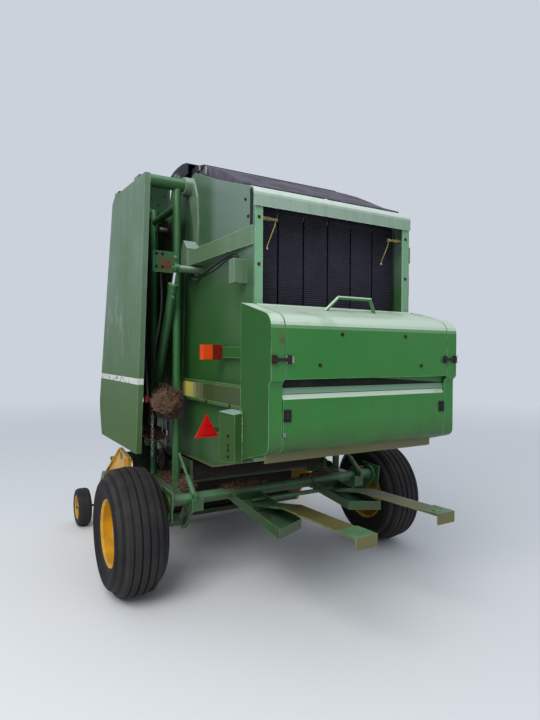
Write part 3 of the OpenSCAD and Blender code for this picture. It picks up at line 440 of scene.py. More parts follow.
def fading_band(tree, paint):
    """The band along the side channels: yellow at its front, breaking up into dark to the rear."""
    height = within(tree, "Z", 1.318, 1.427, 0.002)
    run = within(tree, "Y", -0.81 - AXLE, 0.164 - AXLE, 0.002)
    band = calculate(tree, "MULTIPLY", height, run)
    dark = cover(tree, paint, "#3a4522", band, 0.85)
    place = output_of(tree, "TexCoord", "Object")
    bars = output_of(tree, "TexWave", "Fac", bands_direction="Y", in_Vector=place, in_Scale=11.5,
                     in_Distortion=0.0)
    along = calculate(tree, "MULTIPLY", low_down(tree, 0.010 - AXLE, -0.270 - AXLE, "Y"), 1.30)
    shown = calculate(tree, "SUBTRACT", along, calculate(tree, "MULTIPLY", bars, 0.95))
    tint = cover(tree, "#8b8a66", "#d8c95f", low_down(tree, 0.03 - AXLE, -0.12 - AXLE, "Y"))
    return cover(tree, dark, tint, band, ramp(tree, shown, 0.02, 0.20))


# %% The paints
# The pale colour given for faces that look up is partly sun-faded paint and partly painted sky light.
lid_paint = weathered_paint(
    "lid enamel", "#257527", "#3b7d3c", "#86bd92", bleach_and_sky_light="#c3d4bf", bleached=0.95, dirt=0.15,
    marks=(rust_mark((-0.655, -0.60), (1.62, 1.80)), rust_mark((-0.60, 0.60), (1.10, 1.16), 60, 0.5),
           rust_mark((-0.40, 0.45), (1.44, 1.50), 50, 0.6),
           rust_mark((-0.70, -0.60), (1.80, 1.95), 9, 0.55, "#dfe3d8"),
           grime_below((1.08, 1.26), 0.75, "#33401f")))
# Painted shade: a darker enamel for the box's outer ends and the channels' upper faces, for the shade that lies
# on them.
painted_shade_end_enamel = weathered_paint(
    "shaded box end enamel", "#23541f", "#2f6230", "#7fae86", dirt=0.3, chalky=True,
    marks=(rust_mark((-0.900 - AXLE, -0.873 - AXLE), (1.03, 1.32), 12, 0.9, "#c9cdbd", "Y", 0.004),
           rust_mark((-1.22 - AXLE, -0.87 - AXLE), (1.00, 1.10), 50, 0.5, "#4a4526", "Y")))
# The wall's pale bloom high up at the rear is a painted reflection of the sky.
wall_paint = weathered_paint(
    "wall enamel", "#27561f", "#3a6436", "#7fae86", top="#465f4b", span=(1.6, 2.8), bleach_and_sky_light="#8fb59a",
    bleached=0.6, dirt=0.3, marks=(sky_sheen((-0.95, -0.22), (2.05, 3.10), 0.75, "#6f8277"),))
side_paint = weathered_paint(
    "side box enamel", "#2a511f", "#38602e", "#8aa888", dirt=0.4, rusty=0.4, bleach_and_sky_light="#8fb0a2", bleached=1.0,
    chalky=True)
arm_paint = weathered_paint(
    "arm enamel", "#55704f", "#72897a", "#a9bfac", dirt=0.2, bleach_and_sky_light="#9fb2a6", bleached=0.8)
# Painted shade: a near-black enamel for faces that lie in shade, the shields' inner sides, the posts' faces at
# the bulkhead, the groove under the lid and the sheets behind the shields.
painted_shade_enamel = weathered_paint(
    "shaded enamel", "#141d17", "#19261c", "#26382b", dirt=0.5, rusty=0.6, chalky=True)
rail_paint = weathered_paint("olive rail enamel", "#5a5a30", "#6e6a40", "#8f8a5e", dirt=0.5, rusty=0.8)
channel_paint = weathered_paint(
    "channel enamel", "#35591f", "#46682f", "#8cb08a", marks=(fading_band,), dirt=0.1)
# Painted shade: a dark green enamel for the top panel, which lies in shade between the shield and the chamber.
painted_shade_panel_enamel = weathered_paint(
    "shaded dusty panel enamel", "#24402b", "#304a37", "#5d7a63", dirt=0.3, rusty=0.6, chalky=True)
cap_paint = weathered_paint(
    "bleached cap enamel", "#8aa38d", "#9bafa0", "#c6d8c8", dirt=0.2, bleach_and_sky_light="#cfdccf", bleached=0.9)
shield_paint = weathered_paint(
    "shield enamel", "#43622b", "#56704e", "#93b096", top="#7b8f87", span=(1.1, 2.9), bleach_and_sky_light="#a9c4b4",
    bleached=0.6, dirt=0.2, rusty=0.2, chalky=True,
    marks=(scuffs((1.45, 2.30), 0.35, "#a9bcb4"), stripe_mark("#dcdcd6", (1.41, 1.455))))
frame_paint = weathered_paint(
    "frame enamel", "#26562a", "#3a6640", "#79b07e", dirt=0.8, rusty=0.8, bleach_and_sky_light="#6fa078", bleached=0.5)
plate_paint = weathered_paint(
    "post enamel", "#2a6430", "#41744a", "#79b07e", dirt=0.5, rusty=0.5,
    marks=(rust_mark((-0.89, -0.77), (2.20, 2.34), 120, 1.0, "#6e3a26"),
           rust_mark((0.77, 0.89), (2.22, 2.36), 90, 0.7, "#6e3a26")))
pale_paint = weathered_paint(
    "bleached and sky lit enamel", "#74a67c", "#7a9c7f", "#b6dcbd", dirt=0.2, bleach_and_sky_light="#c3d6c4", bleached=0.8)
ramp_paint = weathered_paint("worn ramp enamel", "#6e6238", "#57683c", "#9a9163", dirt=0.5, rusty=0.9)
yellow_paint = weathered_paint("yellow enamel", "#dca312", "#c58f1c", "#efcb60", dirt=0.35, rusty=0.4)
print("paints", [m.name for m in bpy.data.materials])


# %% [markdown]
# Steel that the crop or a seal rubs stays bright, and the rest darkens under oil and dust.
# Both are metals with the default index of refraction; only their roughness and tone differ.

# %% Bare and oily steel
def bare_metal(name, light, dark, rough_low, rough_high, rust="#5d3520", rusty=0.3):
    material, tree = new_material(name)
    patches = blotches(tree, 80, 0.35, 0.65, detail=5)
    colour = cover(tree, light, dark, patches)
    colour = cover(tree, colour, rust, blotches(tree, 40, 0.52, 0.68, detail=6, shift=4), rusty)
    grain = blotches(tree, 5, 0.2, 0.8, detail=2, shift=2)
    finish_shader(tree, colour, ramp(tree, patches, 0, 1, rough_low, rough_high), grain, 0.25, metallic=0.9)
    return material


bright_steel = bare_metal("rubbed steel", "#b9b6ae", "#8f8a80", 0.25, 0.45, rusty=0.25)
chrome_steel = bare_metal("chromed rod", "#d6d8da", "#c3c5c8", 0.08, 0.18, rusty=0.0)
oily_steel = bare_metal("oily steel", "#4c453d", "#332e29", 0.4, 0.65, rusty=0.8)
rusty_steel = bare_metal("rusted steel", "#6b4a35", "#4c3325", 0.6, 0.85, rust="#7a4526", rusty=0.9)
cast_iron = bare_metal("cast iron", "#7f8482", "#5a5e5c", 0.5, 0.7, rusty=0.3)
rubbed_zinc = bare_metal("zinc chain", "#b3b2a8", "#7d7c74", 0.35, 0.6, rusty=0.3)
sleeve_zinc = bare_metal("yellow zinc plating", "#a89a62", "#6d6845", 0.35, 0.55, rusty=0.4)
print("metals", bright_steel.name, chrome_steel.name, oily_steel.name)


# %% [markdown]
# The belts are woven ply covered in nitrile rubber, with low ribs pressed across them so that
# they grip the crop. The ribs are 14 mm apart here, a little coarser than the real ones so
# that they show. The sheet on top is the same kind of belting, grey from sun and dust.

# %% Rubbers and plastics
def dull_rubber(name, colour, dust, rib_mm=0, dusty=0.4, rough=0.7, cracks=0.0):
    """Rubber. A wave texture of scale 1 repeats every tenth of a metre times two pi."""
    material, tree = new_material(name)
    place = output_of(tree, "TexCoord", "Object")
    shade = cover(tree, colour, dust, blotches(tree, 150, 0.35, 0.7, detail=5), dusty)
    height = blotches(tree, 6, 0.2, 0.8, detail=3, shift=2)
    if rib_mm:
        ribs = output_of(tree, "TexWave", "Fac", bands_direction="Z", in_Vector=place,
                         in_Scale=2 * math.pi / 20 * 1000 / rib_mm)
        height = calculate(tree, "MULTIPLY_ADD", ribs, 3.0, height)
        shade = cover(tree, shade, dust, ribs, 0.2)
    if cracks:
        cells = output_of(tree, "TexVoronoi", "Distance", feature="DISTANCE_TO_EDGE", in_Vector=place,
                          in_Scale=9.0)
        broken = blotches(tree, 300, 0.45, 0.6, shift=6)
        shade = cover(tree, shade, "#1b181c", ramp(tree, cells, 0.03, 0.0), broken, cracks)
    finish_shader(tree, shade, rough, height, 1.0, in_Specular_IOR_Level=0.25)
    return material


belt_rubber = dull_rubber("ribbed belting", "#211f2a", "#45424f", rib_mm=14, dusty=0.25)
cover_rubber = dull_rubber("sunned belting", "#4a4550", "#77727d", dusty=0.7, rough=0.8, cracks=0.8)
apron_rubber = dull_rubber("apron belting", "#1b1b27", "#3b3c4a", dusty=0.4, rough=0.6, cracks=0.3)
tyre_rubber = dull_rubber("tyre rubber", "#262426", "#443e3a", dusty=0.5, rough=0.75)
sidewall_rubber = dull_rubber("tyre sidewall rubber", "#161516", "#2b2724", dusty=0.5, rough=0.8)
black_plastic = dull_rubber("black moulding", "#17171a", "#3a3835", dusty=0.3, rough=0.5)
hose_rubber = dull_rubber("hose rubber", "#131315", "#35322f", dusty=0.5, rough=0.55)
grey_plastic = dull_rubber("grey moulding", "#7d7d80", "#5a5854", dusty=0.5, rough=0.6)
print("rubbers", belt_rubber.name, tyre_rubber.name)


# %% [markdown]
# Lenses are clear acrylic over small prisms, so they are smooth, with a sharp highlight. Straw
# and caked hay are matt, and change their brown from stalk to stalk.

# %% Lenses, straw and dirt
def clear_plastic(name, colour, deep):
    material, tree = new_material(name)
    patches = blotches(tree, 12, 0.3, 0.7)
    shade = cover(tree, colour, deep, patches)
    finish_shader(tree, shade, 0.18, patches, 0.3, in_IOR=1.49, in_Coat_Weight=0.4)
    return material


def lamp_plastic():
    """One lens in two colours: orange on the outer half, red on the inner half."""
    material, tree = new_material("lamp lens")
    side = calculate(tree, "ABSOLUTE", axis_value(tree, "X"))
    shade = cover(tree, "#7a100c", "#e24a12", ramp(tree, side, 0.7115, 0.7125))
    finish_shader(tree, shade, 0.2, blotches(tree, 9, 0.3, 0.7), 0.4, in_IOR=1.49, in_Coat_Weight=0.4)
    return material


def straw_fibre(name, light, dark):
    material, tree = new_material(name)
    patches = blotches(tree, 30, 0.3, 0.7, shift=4)
    finish_shader(tree, cover(tree, light, dark, patches), 0.85, patches, 0.3)
    return material


lamp_lens = lamp_plastic()
reflector_red = clear_plastic("red reflector", "#e0141a", "#b80f14")
knob_red = clear_plastic("red knob", "#c9252a", "#8f1518")
old_straw = straw_fibre("rotted straw", "#6b4a34", "#3f2b20")
dry_straw = straw_fibre("dry straw", "#9a7a5c", "#5d4432")
caked_straw = straw_fibre("caked hay", "#33261d", "#1b1511")
print("lenses and straw", lamp_lens.name, old_straw.name)

# %% Give each frame part its finish
finishes = {
    lid_paint: ("net_lid", "net_door", "net_box"),
    wall_paint: ("tailgate_walls", "chassis_walls"),
    side_paint: ("side_boxes",),
    arm_paint: ("hinge_arms",),
    channel_paint: ("side_channels",),
    shield_paint: ("left_shield", "right_shield"),
    frame_paint: ("lower_frame", "hinge_tube", "front_beam", "drawbar", "jack_tube", "gearbox", "left_barrel",
                  "right_barrel", "pickup_frame", "pickup_bands", "windguard"),
    plate_paint: ("left_posts", "right_posts"),
    pale_paint: ("tailgate_frame",),
    cap_paint: ("tailgate_cap",),
    ramp_paint: ("bale_ramp",),
    yellow_paint: ("left_rim", "right_rim", "pickup_shields", "left_gauge_wheel", "right_gauge_wheel"),
    bright_steel: ("jack_leg", "front_rollers", "tailgate_rollers", "net_rollers"),
    caked_straw: ("starter_rolls",),
    chrome_steel: ("left_rod", "right_rod"),
    oily_steel: ("drive_chains", "tension_springs", "pickup_reel"),
    belt_rubber: ("front_belts", "tailgate_belts"),
    cover_rubber: ("top_cover",),
    tyre_rubber: ("left_tyre", "right_tyre"),
    black_plastic: ("drive_shaft",),
    lamp_lens: ("tail_lamps",),
    reflector_red: ("warning_triangle",),
    hose_rubber: ("lift_hose", "feed_hose", "arm_hose"),
}
for material, names in finishes.items():
    for name in names:
        node[name].data.materials.clear()
        node[name].data.materials.append(material)
for line in (lift_line, feed_line, arm_line, under_arm_line):
    line.data.materials.append(hose_rubber)
print("finished", sum(len(names) for names in finishes.values()), "of", len(node), "frame parts")

# %% Rubber and paint on one part
GAUGE_TREAD, SIDEWALL_OUT = 0.108, 0.12
GROOVE, LEDGE = (1.447, 1.50), (1.40, 1.447)


def second_finish(name, material, test):
    """Gives a frame part a second finish on the faces whose centre and normal pass the test."""
    mesh = node[name].data
    mesh.materials.append(material)
    passed = [face for face in mesh.polygons if test(face.center, face.normal)]
    for face in passed:
        face.material_index = len(mesh.materials) - 1
    print(name, "has", len(passed), "faces of", material.name)


def box_strip(heights):
    """A test for the net box's rear faces between two heights, between its end strips."""
    return lambda c, n: heights[0] < c.z < heights[1] and c.y + AXLE < -1.1 and abs(c.x) < 0.61


for _, side in SIDES:
    low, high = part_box(side + "_gauge_wheel")
    middle_y, middle_z = (low[1] + high[1]) / 2, (low[2] + high[2]) / 2
    second_finish(side + "_gauge_wheel", tyre_rubber,
                  lambda c, n: math.hypot(c.y - middle_y, c.z - middle_z) > GAUGE_TREAD)
    middle_x = sum(corner[0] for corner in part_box(side + "_tyre")) / 2
    second_finish(side + "_tyre", sidewall_rubber,
                  lambda c, n: abs(n.x) > 0.75 and abs(c.x - middle_x) > SIDEWALL_OUT)
    middle_x = sum(corner[0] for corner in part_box(side + "_shield")) / 2
    # Painted shade on the shields' inner sides and on the posts' faces at the bulkhead.
    second_finish(side + "_shield", painted_shade_enamel, lambda c, n: n.x * middle_x < -0.5)
    second_finish(side + "_posts", painted_shade_enamel, lambda c, n: 0.63 < c.y + AXLE < 0.65 and n.y < -0.9)
    second_finish(side + "_rod", frame_paint, lambda c, n: c.z > 2.16)
second_finish("left_posts", caked_straw,
              lambda c, n: c.x < -0.731 and c.y + AXLE < 0.235 and 1.16 < c.z < 1.43)
# The walls' upward faces and top lips turn paler: partly sun-faded paint, partly painted sky light along the
# lit top edges.
second_finish("tailgate_walls", pale_paint, lambda c, n: n.z > 0.3 and c.z > 2.5 and abs(c.x) > 0.6)
second_finish("tailgate_walls", rail_paint, lambda c, n: c.z < 0.98 and abs(c.x) > 0.614)
# Painted shade on the channels' upper faces and on the box's outer ends.
second_finish("side_channels", painted_shade_end_enamel, lambda c, n: c.z > 1.55)
second_finish("net_box", painted_shade_end_enamel, lambda c, n: abs(n.x) > 0.9 and abs(c.x) > 0.68)
# Painted shadow in the recessed groove under the lid.
second_finish("net_box", painted_shade_enamel, box_strip(GROOVE))
second_finish("net_box", wall_paint, box_strip(LEDGE))
second_finish("hinge_tube", rusty_steel, lambda c, n: abs(n.x) > 0.9 and abs(c.x) > 0.9)
second_finish("bale_ramp", frame_paint, lambda c, n: c.z < 0.66 or c.y < -1.352 - AXLE and c.z > 0.699)


# %% [markdown]
# The parts so far carry the main shapes. What a drawing in solids leaves out is modelled from
# here on as by hand: a primitive is put in its place, faces are picked by where they are, and
# extrude, inset and bevel shape it. These helpers keep each of those steps to one line.

# %% Helpers for modelling
def begin(name, kind, place=(0, 0, 0), turn=(0, 0, 0), **size):
    """Adds a primitive as the start of a piece and opens it in edit mode."""
    if bpy.context.object and bpy.context.object.mode != "OBJECT":
        bpy.ops.object.mode_set(mode="OBJECT")
    bpy.ops.object.select_all(action="DESELECT")
    getattr(bpy.ops.mesh, "primitive_" + kind + "_add")(location=place, rotation=turn, **size)
    piece = bpy.context.object
    piece.name = name
    bpy.ops.object.transform_apply(location=True, rotation=True, scale=True)
    bpy.ops.object.mode_set(mode="EDIT")
    return piece


def box_from(name, low, high):
    """A box between two corners, opened in edit mode. It is only the start of a piece."""
    middle = (Vector(low) + Vector(high)) / 2
    piece = begin(name, "cube", place=middle, size=1)
    bpy.ops.transform.resize(value=Vector(high) - Vector(low), center_override=middle)
    return piece


def pick(piece, test, kind="faces"):
    """Selects only the faces, edges or corners whose centre c and normal n pass the test.
    An edge has no normal, so its n is the way it runs."""
    bpy.ops.mesh.select_mode(type={"faces": "FACE", "edges": "EDGE", "verts": "VERT"}[kind])
    bpy.ops.mesh.select_all(action="DESELECT")
    mesh = bmesh.from_edit_mesh(piece.data)
    mesh.normal_update()
    for part in getattr(mesh, kind):
        if kind == "edges":
            start, end = (corner.co for corner in part.verts)
            centre, normal = (start + end) / 2, end - start
        else:
            centre = part.calc_center_median() if kind == "faces" else part.co
            normal = part.normal
        if test(centre, normal):
            part.select_set(True)
    mesh.select_flush_mode()
    bmesh.update_edit_mesh(piece.data)


def cut_across(axis, place):
    """Cuts the whole piece across an axis at a place."""
    way = Vector((0, 0, 0))
    way["XYZ".index(axis)] = 1
    bpy.ops.mesh.select_all(action="SELECT")
    bpy.ops.mesh.bisect(plane_co=way * place, plane_no=way)


def draw_out(move, size=None, around=None):
    """Extrudes what is selected, and sizes its end about a point."""
    bpy.ops.mesh.extrude_region_move(TRANSFORM_OT_translate={"value": move})
    if size:
        bpy.ops.transform.resize(value=size, center_override=around)


def complete(piece, body, material, slot, bevel_mm=0.0, angle=35):
    """Ends a piece: bevelled edges, smooth faces, its finish, and the body that it rides on."""
    bpy.ops.object.mode_set(mode="OBJECT")
    only(piece)
    if bevel_mm:
        bevel = piece.modifiers.new("edges", "BEVEL")
        bevel.width = bevel_mm / 1000
        bevel.segments = 2
        bevel.limit_method = "ANGLE"
        bevel.angle_limit = math.radians(40)
        bpy.ops.object.modifier_apply(modifier=bevel.name)
    bpy.ops.object.shade_smooth_by_angle(angle=math.radians(angle))
    piece.data.materials.clear()
    piece.data.materials.append(material)
    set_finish(piece, slot)
    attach(piece, body)
    return piece


def duplicate(first, name):
    """A copy of a piece, with its own mesh."""
    only(first)
    bpy.ops.object.duplicate(linked=False)
    copy = bpy.context.object
    copy.name = name
    return copy


def copy_to(first, name, place, facing, body, spin=0.0):
    """A copy moved to a place and turned so that its +Z faces outward."""
    copy = duplicate(first, name)
    turn = Vector(facing).to_track_quat("Z", "Y") @ Matrix.Rotation(spin, 3, "Z").to_quaternion()
    copy.rotation_mode = "QUATERNION"
    copy.rotation_quaternion = turn
    copy.location = place
    bpy.ops.object.transform_apply(location=True, rotation=True, scale=True)
    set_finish(copy, first["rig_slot"])
    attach(copy, body)
    return copy


def mirrored(first, name, body):
    """A copy on the other side of the machine, with its faces still pointing out."""
    copy = duplicate(first, name)
    bpy.ops.object.mode_set(mode="EDIT")
    bpy.ops.mesh.select_all(action="SELECT")
    bpy.ops.transform.resize(value=(-1, 1, 1), center_override=(0, 0, 0))
    bpy.ops.mesh.normals_make_consistent(inside=False)
    bpy.ops.object.mode_set(mode="OBJECT")
    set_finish(copy, first["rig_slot"])
    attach(copy, body)
    return copy


def both_sides(model, part, body, *values):
    """Models the left-hand piece, and mirrors it to the right."""
    left = model("left_" + part, *values)
    mirrored(left, "right_" + part, body)
    return left


def curve_to_mesh(name, curve):
    only(add_object(name, curve))
    bpy.ops.object.convert(target="MESH")
    return bpy.context.object


def bent_rod(name, points, radius, body, material, slot, bend):
    """A round rod along points, drawn as a curve with rounded corners and made a mesh."""
    points = [Vector(point) for point in points]
    path = [points[0]]
    for before, corner, after in zip(points, points[1:], points[2:]):
        reach = min(bend, (corner - before).length / 2, (after - corner).length / 2)
        enter = corner + (before - corner).normalized() * reach
        leave = corner + (after - corner).normalized() * reach
        for k in range(5):
            t = k / 4
            path.append((1 - t) ** 2 * enter + 2 * t * (1 - t) * corner + t * t * leave)
    path.append(points[-1])
    curve = new_curve(name, radius, resolution=3)
    spline = curve.splines.new("POLY")
    spline.points.add(len(path) - 1)
    for point, place in zip(spline.points, path):
        point.co = (*place, 1)
    piece = curve_to_mesh(name, curve)
    bpy.ops.object.mode_set(mode="EDIT")
    bpy.ops.mesh.select_all(action="SELECT")
    bpy.ops.mesh.remove_doubles(threshold=0.00005)
    bpy.ops.mesh.normals_make_consistent(inside=False)
    return complete(piece, body, material, slot)


print("helpers are ready")


# %% [markdown]
# Sheet metal like this is held by flange bolts: a hexagon head on a round washer that is part
# of it. One is modelled at the origin, facing up, and copied to each place in the photograph.

# %% Flange bolts
def model_bolt(name, across, washer, height, material):
    piece = begin(name, "cylinder", vertices=6, radius=across / 2, depth=height, place=(0, 0, height / 2))
    pick(piece, lambda c, n: n.z > 0.9)
    bpy.ops.mesh.inset(thickness=across * 0.08, depth=height * 0.18)
    bpy.ops.mesh.inset(thickness=across * 0.12, depth=-height * 0.08)
    bpy.ops.mesh.primitive_cylinder_add(vertices=18, radius=washer / 2, depth=height * 0.3,
                                        location=(0, 0, height * 0.15))
    return complete(piece, "chassis", material, "bare_steel", bevel_mm=0.6)


def set_bolts(name, first, body, facing, places):
    """Copies a bolt to places from under the axle, each turned a little further."""
    for k, place in enumerate(places):
        copy_to(first, name + "_" + str(k + 1), at(*place), facing, body, spin=0.7 * k)
    return len(places)


bolt = model_bolt("bolt", 0.013, 0.021, 0.008, oily_steel)
wide_bolt = model_bolt("wide_bolt", 0.014, 0.023, 0.008, oily_steel)
bright_bolt = model_bolt("bright_bolt", 0.016, 0.026, 0.010, bright_steel)
total = set_bolts("lid_bolt", wide_bolt, "net_lid", REAR, [
    (-0.234, -1.220, 1.740), (0.245, -1.220, 1.738), (-0.385, -1.220, 1.569), (0.379, -1.220, 1.561)])
total += set_bolts("post_bolt", bolt, "tailgate", REAR, [
    (side * 0.579, -0.873, z) for side in (-1, 1) for z in (2.428, 2.154)])
for part, first, body, facing, x, spots in (
        ("wall_bolt", bolt, "tailgate", None, 0.613, [(-0.770, 2.549), (-0.805, 2.441)]),
        ("box_bolt", bolt, "tailgate", None, 0.740, [(-0.809, z) for z in (1.152, 1.097, 1.071, 1.032)]),
        ("plate_bolt", bright_bolt, "chassis", REAR, 0.752, [(0.062, z) for z in (2.326, 2.268)]),
        ("channel_bolt", bolt, "tailgate", None, 0.660, [(y, 1.3085) for y in (0.10, -0.30, -0.66)])):
    for side, word in SIDES:
        total += set_bolts(word + "_" + part, first, body, facing or (side, 0, 0),
                           [(side * x, y, z) for y, z in spots])
for first in (bolt, wide_bolt, bright_bolt):
    bpy.data.objects.remove(first)
print(total, "bolts are in place")

# %% [markdown]
# Two rubber draw latches keep the lid shut. Each is a moulded strap with a waist, anchored in
# a small bracket on the box and ending in a T grip that is pulled over the lid's keeper. It is
# drawn out along its length from the anchor block, face by face.

# %% Lid latches
LID_BACK, LATCH_Z = -1.220 - AXLE, 1.600


def model_strap(name):
    """The left-hand strap, from its bracket at X -0.684 to the end of its grip at X -0.572."""
    x, y, z = -0.668, LID_BACK, LATCH_Z
    piece = box_from(name, (-0.684, y - 0.017, z - 0.016), (x, y - 0.001, z + 0.016))
    for run, deep, tall in [(0.010, 0.8, 0.62), (0.018, 0.8, 0.75), (0.020, 1.0, 0.9), (0.012, 1.05, 1.2),
                            (0.010, 1.1, 1.5), (0.006, 1.1, 1.9), (0.014, 1.0, 1.0), (0.006, 0.8, 0.85)]:
        x += run
        pick(piece, lambda c, n: n.x > 0.9 and c.x > x - run - 0.0005)
        draw_out((run, 0, 0), (1, deep, tall), (x, y - 0.009, z))
    return complete(piece, "tailgate", black_plastic, "black_plastic", bevel_mm=2.0)


def model_anchor(name):
    """The steel saddle that holds the strap's end to the box."""
    y, z = LID_BACK, LATCH_Z
    piece = box_from(name, (-0.692, y - 0.003, z - 0.024), (-0.662, y, z + 0.024))
    for side in (-1, 1):
        cut_across("Z", z + side * 0.019)
    pick(piece, lambda c, n: n.y < -0.9 and abs(c.z - z) > 0.018)
    draw_out((0, -0.018, 0), (0.6, 1, 1), (-0.677, y - 0.021, z))
    return complete(piece, "tailgate", rusty_steel, "bare_steel", bevel_mm=1.0)


def model_keeper(name):
    """The small hooked plate on the lid that the grip is pulled over."""
    y, z = LID_BACK, LATCH_Z
    piece = box_from(name, (-0.604, y - 0.003, z - 0.020), (-0.566, y, z + 0.020))
    pick(piece, lambda c, n: n.x > 0.9)
    draw_out((0.010, -0.004, 0), (1, 1, 0.8), (-0.556, y, z))
    return complete(piece, "net_lid", bright_steel, "bare_steel", bevel_mm=0.8)


latch = [(model_strap("left_strap"), "strap", "tailgate"),
         (model_anchor("left_anchor"), "anchor", "tailgate"),
         (model_keeper("left_keeper"), "keeper", "net_lid")]
for first, part, body in latch:
    mirrored(first, "right_" + part, body)
print("straps", rounded(latch[0][0].dimensions))

# %% [markdown]
# The lower door has two black paddle latches. The cup is pressed into the sheet, so its face
# is inset and pushed in, and the paddle stands up out of the cup again.

# %% Door latches
DOOR_BACK = -1.195 - AXLE


def model_paddle(name, low_x, high_x):
    face, low_z, high_z = DOOR_BACK, 1.268, 1.332
    x, z = (low_x + high_x) / 2, (low_z + high_z) / 2
    piece = box_from(name, (low_x, face - 0.009, low_z), (high_x, face + 0.001, high_z))
    pick(piece, lambda c, n: n.y < -0.9)
    bpy.ops.mesh.inset(thickness=0.005)
    draw_out((0, 0.006, 0), (0.94, 1, 0.94), (x, face - 0.003, z))
    bpy.ops.mesh.inset(thickness=0.004)
    draw_out((0, -0.010, 0), (0.92, 1, 0.9), (x, face - 0.013, z))
    pick(piece, lambda c, n: n.y < -0.9 and c.y < face - 0.012)
    bpy.ops.transform.translate(value=(0, 0.003, -0.002))
    return complete(piece, "net_door", black_plastic, "black_plastic", bevel_mm=1.2)


left_paddle = model_paddle("left_paddle", -0.601, -0.557)
model_paddle("right_paddle", 0.562, 0.604)
piece = box_from("door_pull", (-0.606, DOOR_BACK - 0.004, 1.188), (-0.592, DOOR_BACK, 1.212))
pick(piece, lambda c, n: n.y < -0.9)
draw_out((0, -0.010, -0.003), (0.8, 1, 0.6), (-0.599, DOOR_BACK - 0.014, 1.197))
complete(piece, "net_door", grey_plastic, "black_plastic", bevel_mm=1.0)
print("paddles", rounded(left_paddle.dimensions))

# %% [markdown]
# The plates on the rear posts have four bare bolt holes each. A hole is shown as a shallow ring
# with a sunk, dark middle.

# %% Bolt holes in the post plates
piece = begin("hole", "cylinder", vertices=20, radius=0.0115, depth=0.0016, place=(0, 0, 0.0008))
pick(piece, lambda c, n: n.z > 0.9)
bpy.ops.mesh.inset(thickness=0.0018)
draw_out((0, 0, -0.0012))
hole = complete(piece, "chassis", black_plastic, "dark_steel")
for k, (x, z) in enumerate([(x, z) for x in (0.894, 0.850) for z in (2.338, 2.247)], 1):
    for side, word in SIDES:
        copy_to(hole, word + "_plate_hole_" + str(k), at(side * x, 0.0622, z), REAR, "chassis")
bpy.data.objects.remove(hole)
print("plate holes are in place")


# %% [markdown]
# Inside the rear opening, two levers reach in from the posts. Each is a short zinc-plated
# sleeve with a thin rod bent down from its end, and a bright knob on the rod.

# %% Net levers
def model_lever(name, post_x, end_x, z, knob):
    """A sleeve from the post to end_x, and a rod down to the knob's place."""
    y = -0.850 - AXLE
    reach = end_x - post_x
    toward = 1 if reach > 0 else -1
    piece = begin(name + "_sleeve", "cylinder", vertices=20, radius=0.014, depth=abs(reach) * 0.55,
                  place=(post_x + reach * 0.275, y, z), turn=ALONG_X)
    pick(piece, lambda c, n: n.x * toward > 0.9)
    for run, size in ((0.0, 0.72), (0.30, 1.0), (0.0, 1.35), (0.15, 1.0)):
        draw_out((reach * run, 0, 0), (1, size, size), (0, y, z))
    sleeve = complete(piece, "tailgate", sleeve_zinc, "bare_steel", bevel_mm=1.0)
    top = end_x - 0.012 * toward
    rod = bent_rod(name + "_rod", [(top, y, z - 0.006), (top, y, z - 0.03), (knob[0], y, knob[1] + 0.01)],
                   0.0035, "tailgate", sleeve_zinc, "bare_steel", 0.012)
    piece = begin(name + "_knob", "cylinder", vertices=16, radius=0.008, depth=0.010,
                  place=(knob[0], y, knob[1]))
    for up in (1, -1):
        pick(piece, lambda c, n: n.z * up > 0.9)
        draw_out((0, 0, 0.003 * up), (0.7, 0.7, 1), (knob[0], y, knob[1] + up * 0.008))
    ball = complete(piece, "tailgate", bright_steel, "bare_steel", bevel_mm=0.8)
    return sleeve, rod, ball


left_lever = model_lever("left_lever", -0.553, -0.444, 2.430, (-0.512, 2.254))
right_lever = model_lever("right_lever", 0.553, 0.430, 2.412, (0.379, 2.244))
print("levers", len(left_lever) + len(right_lever), "pieces")


# %% [markdown]
# On the real machine a dark rubber apron closes the top of the chamber's front part. The solid
# wall there has a green hump in its place. A copy of the wall is bisected below the hump and
# filled again, and takes the wall's place.

# %% Front wall without its hump
def copy_of(name, new_name):
    """A merged copy of a frame part, with its own mesh, opened in edit mode."""
    copy = add_object(new_name, node[name].data.copy())
    copy.matrix_world = node[name].matrix_world
    only(copy)
    bpy.ops.object.mode_set(mode="EDIT")
    bpy.ops.mesh.select_all(action="SELECT")
    bpy.ops.mesh.remove_doubles(threshold=0.00002)
    return copy


piece = copy_of("chassis_walls", "front_walls")
bpy.ops.mesh.bisect(plane_co=(0, 0, 3.020), plane_no=(0, 0, 1), clear_outer=True, use_fill=True)
front_walls = complete(piece, "chassis", wall_paint, "body_green")
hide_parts("chassis_walls")
print("front walls reach", round(max(v.co.z for v in front_walls.data.vertices), 3), "m")

# %% [markdown]
# The apron is one bent sheet of belting. It starts as a box without its bottom and ends, is cut
# across at each place where it bends, and every cut's top corners are moved to their height.
# Its long edges are rounded and Solidify gives it the 5 mm of real belting.

# %% Rubber apron and flap
BELTING, FOLD_RADIUS = 0.005, 0.010


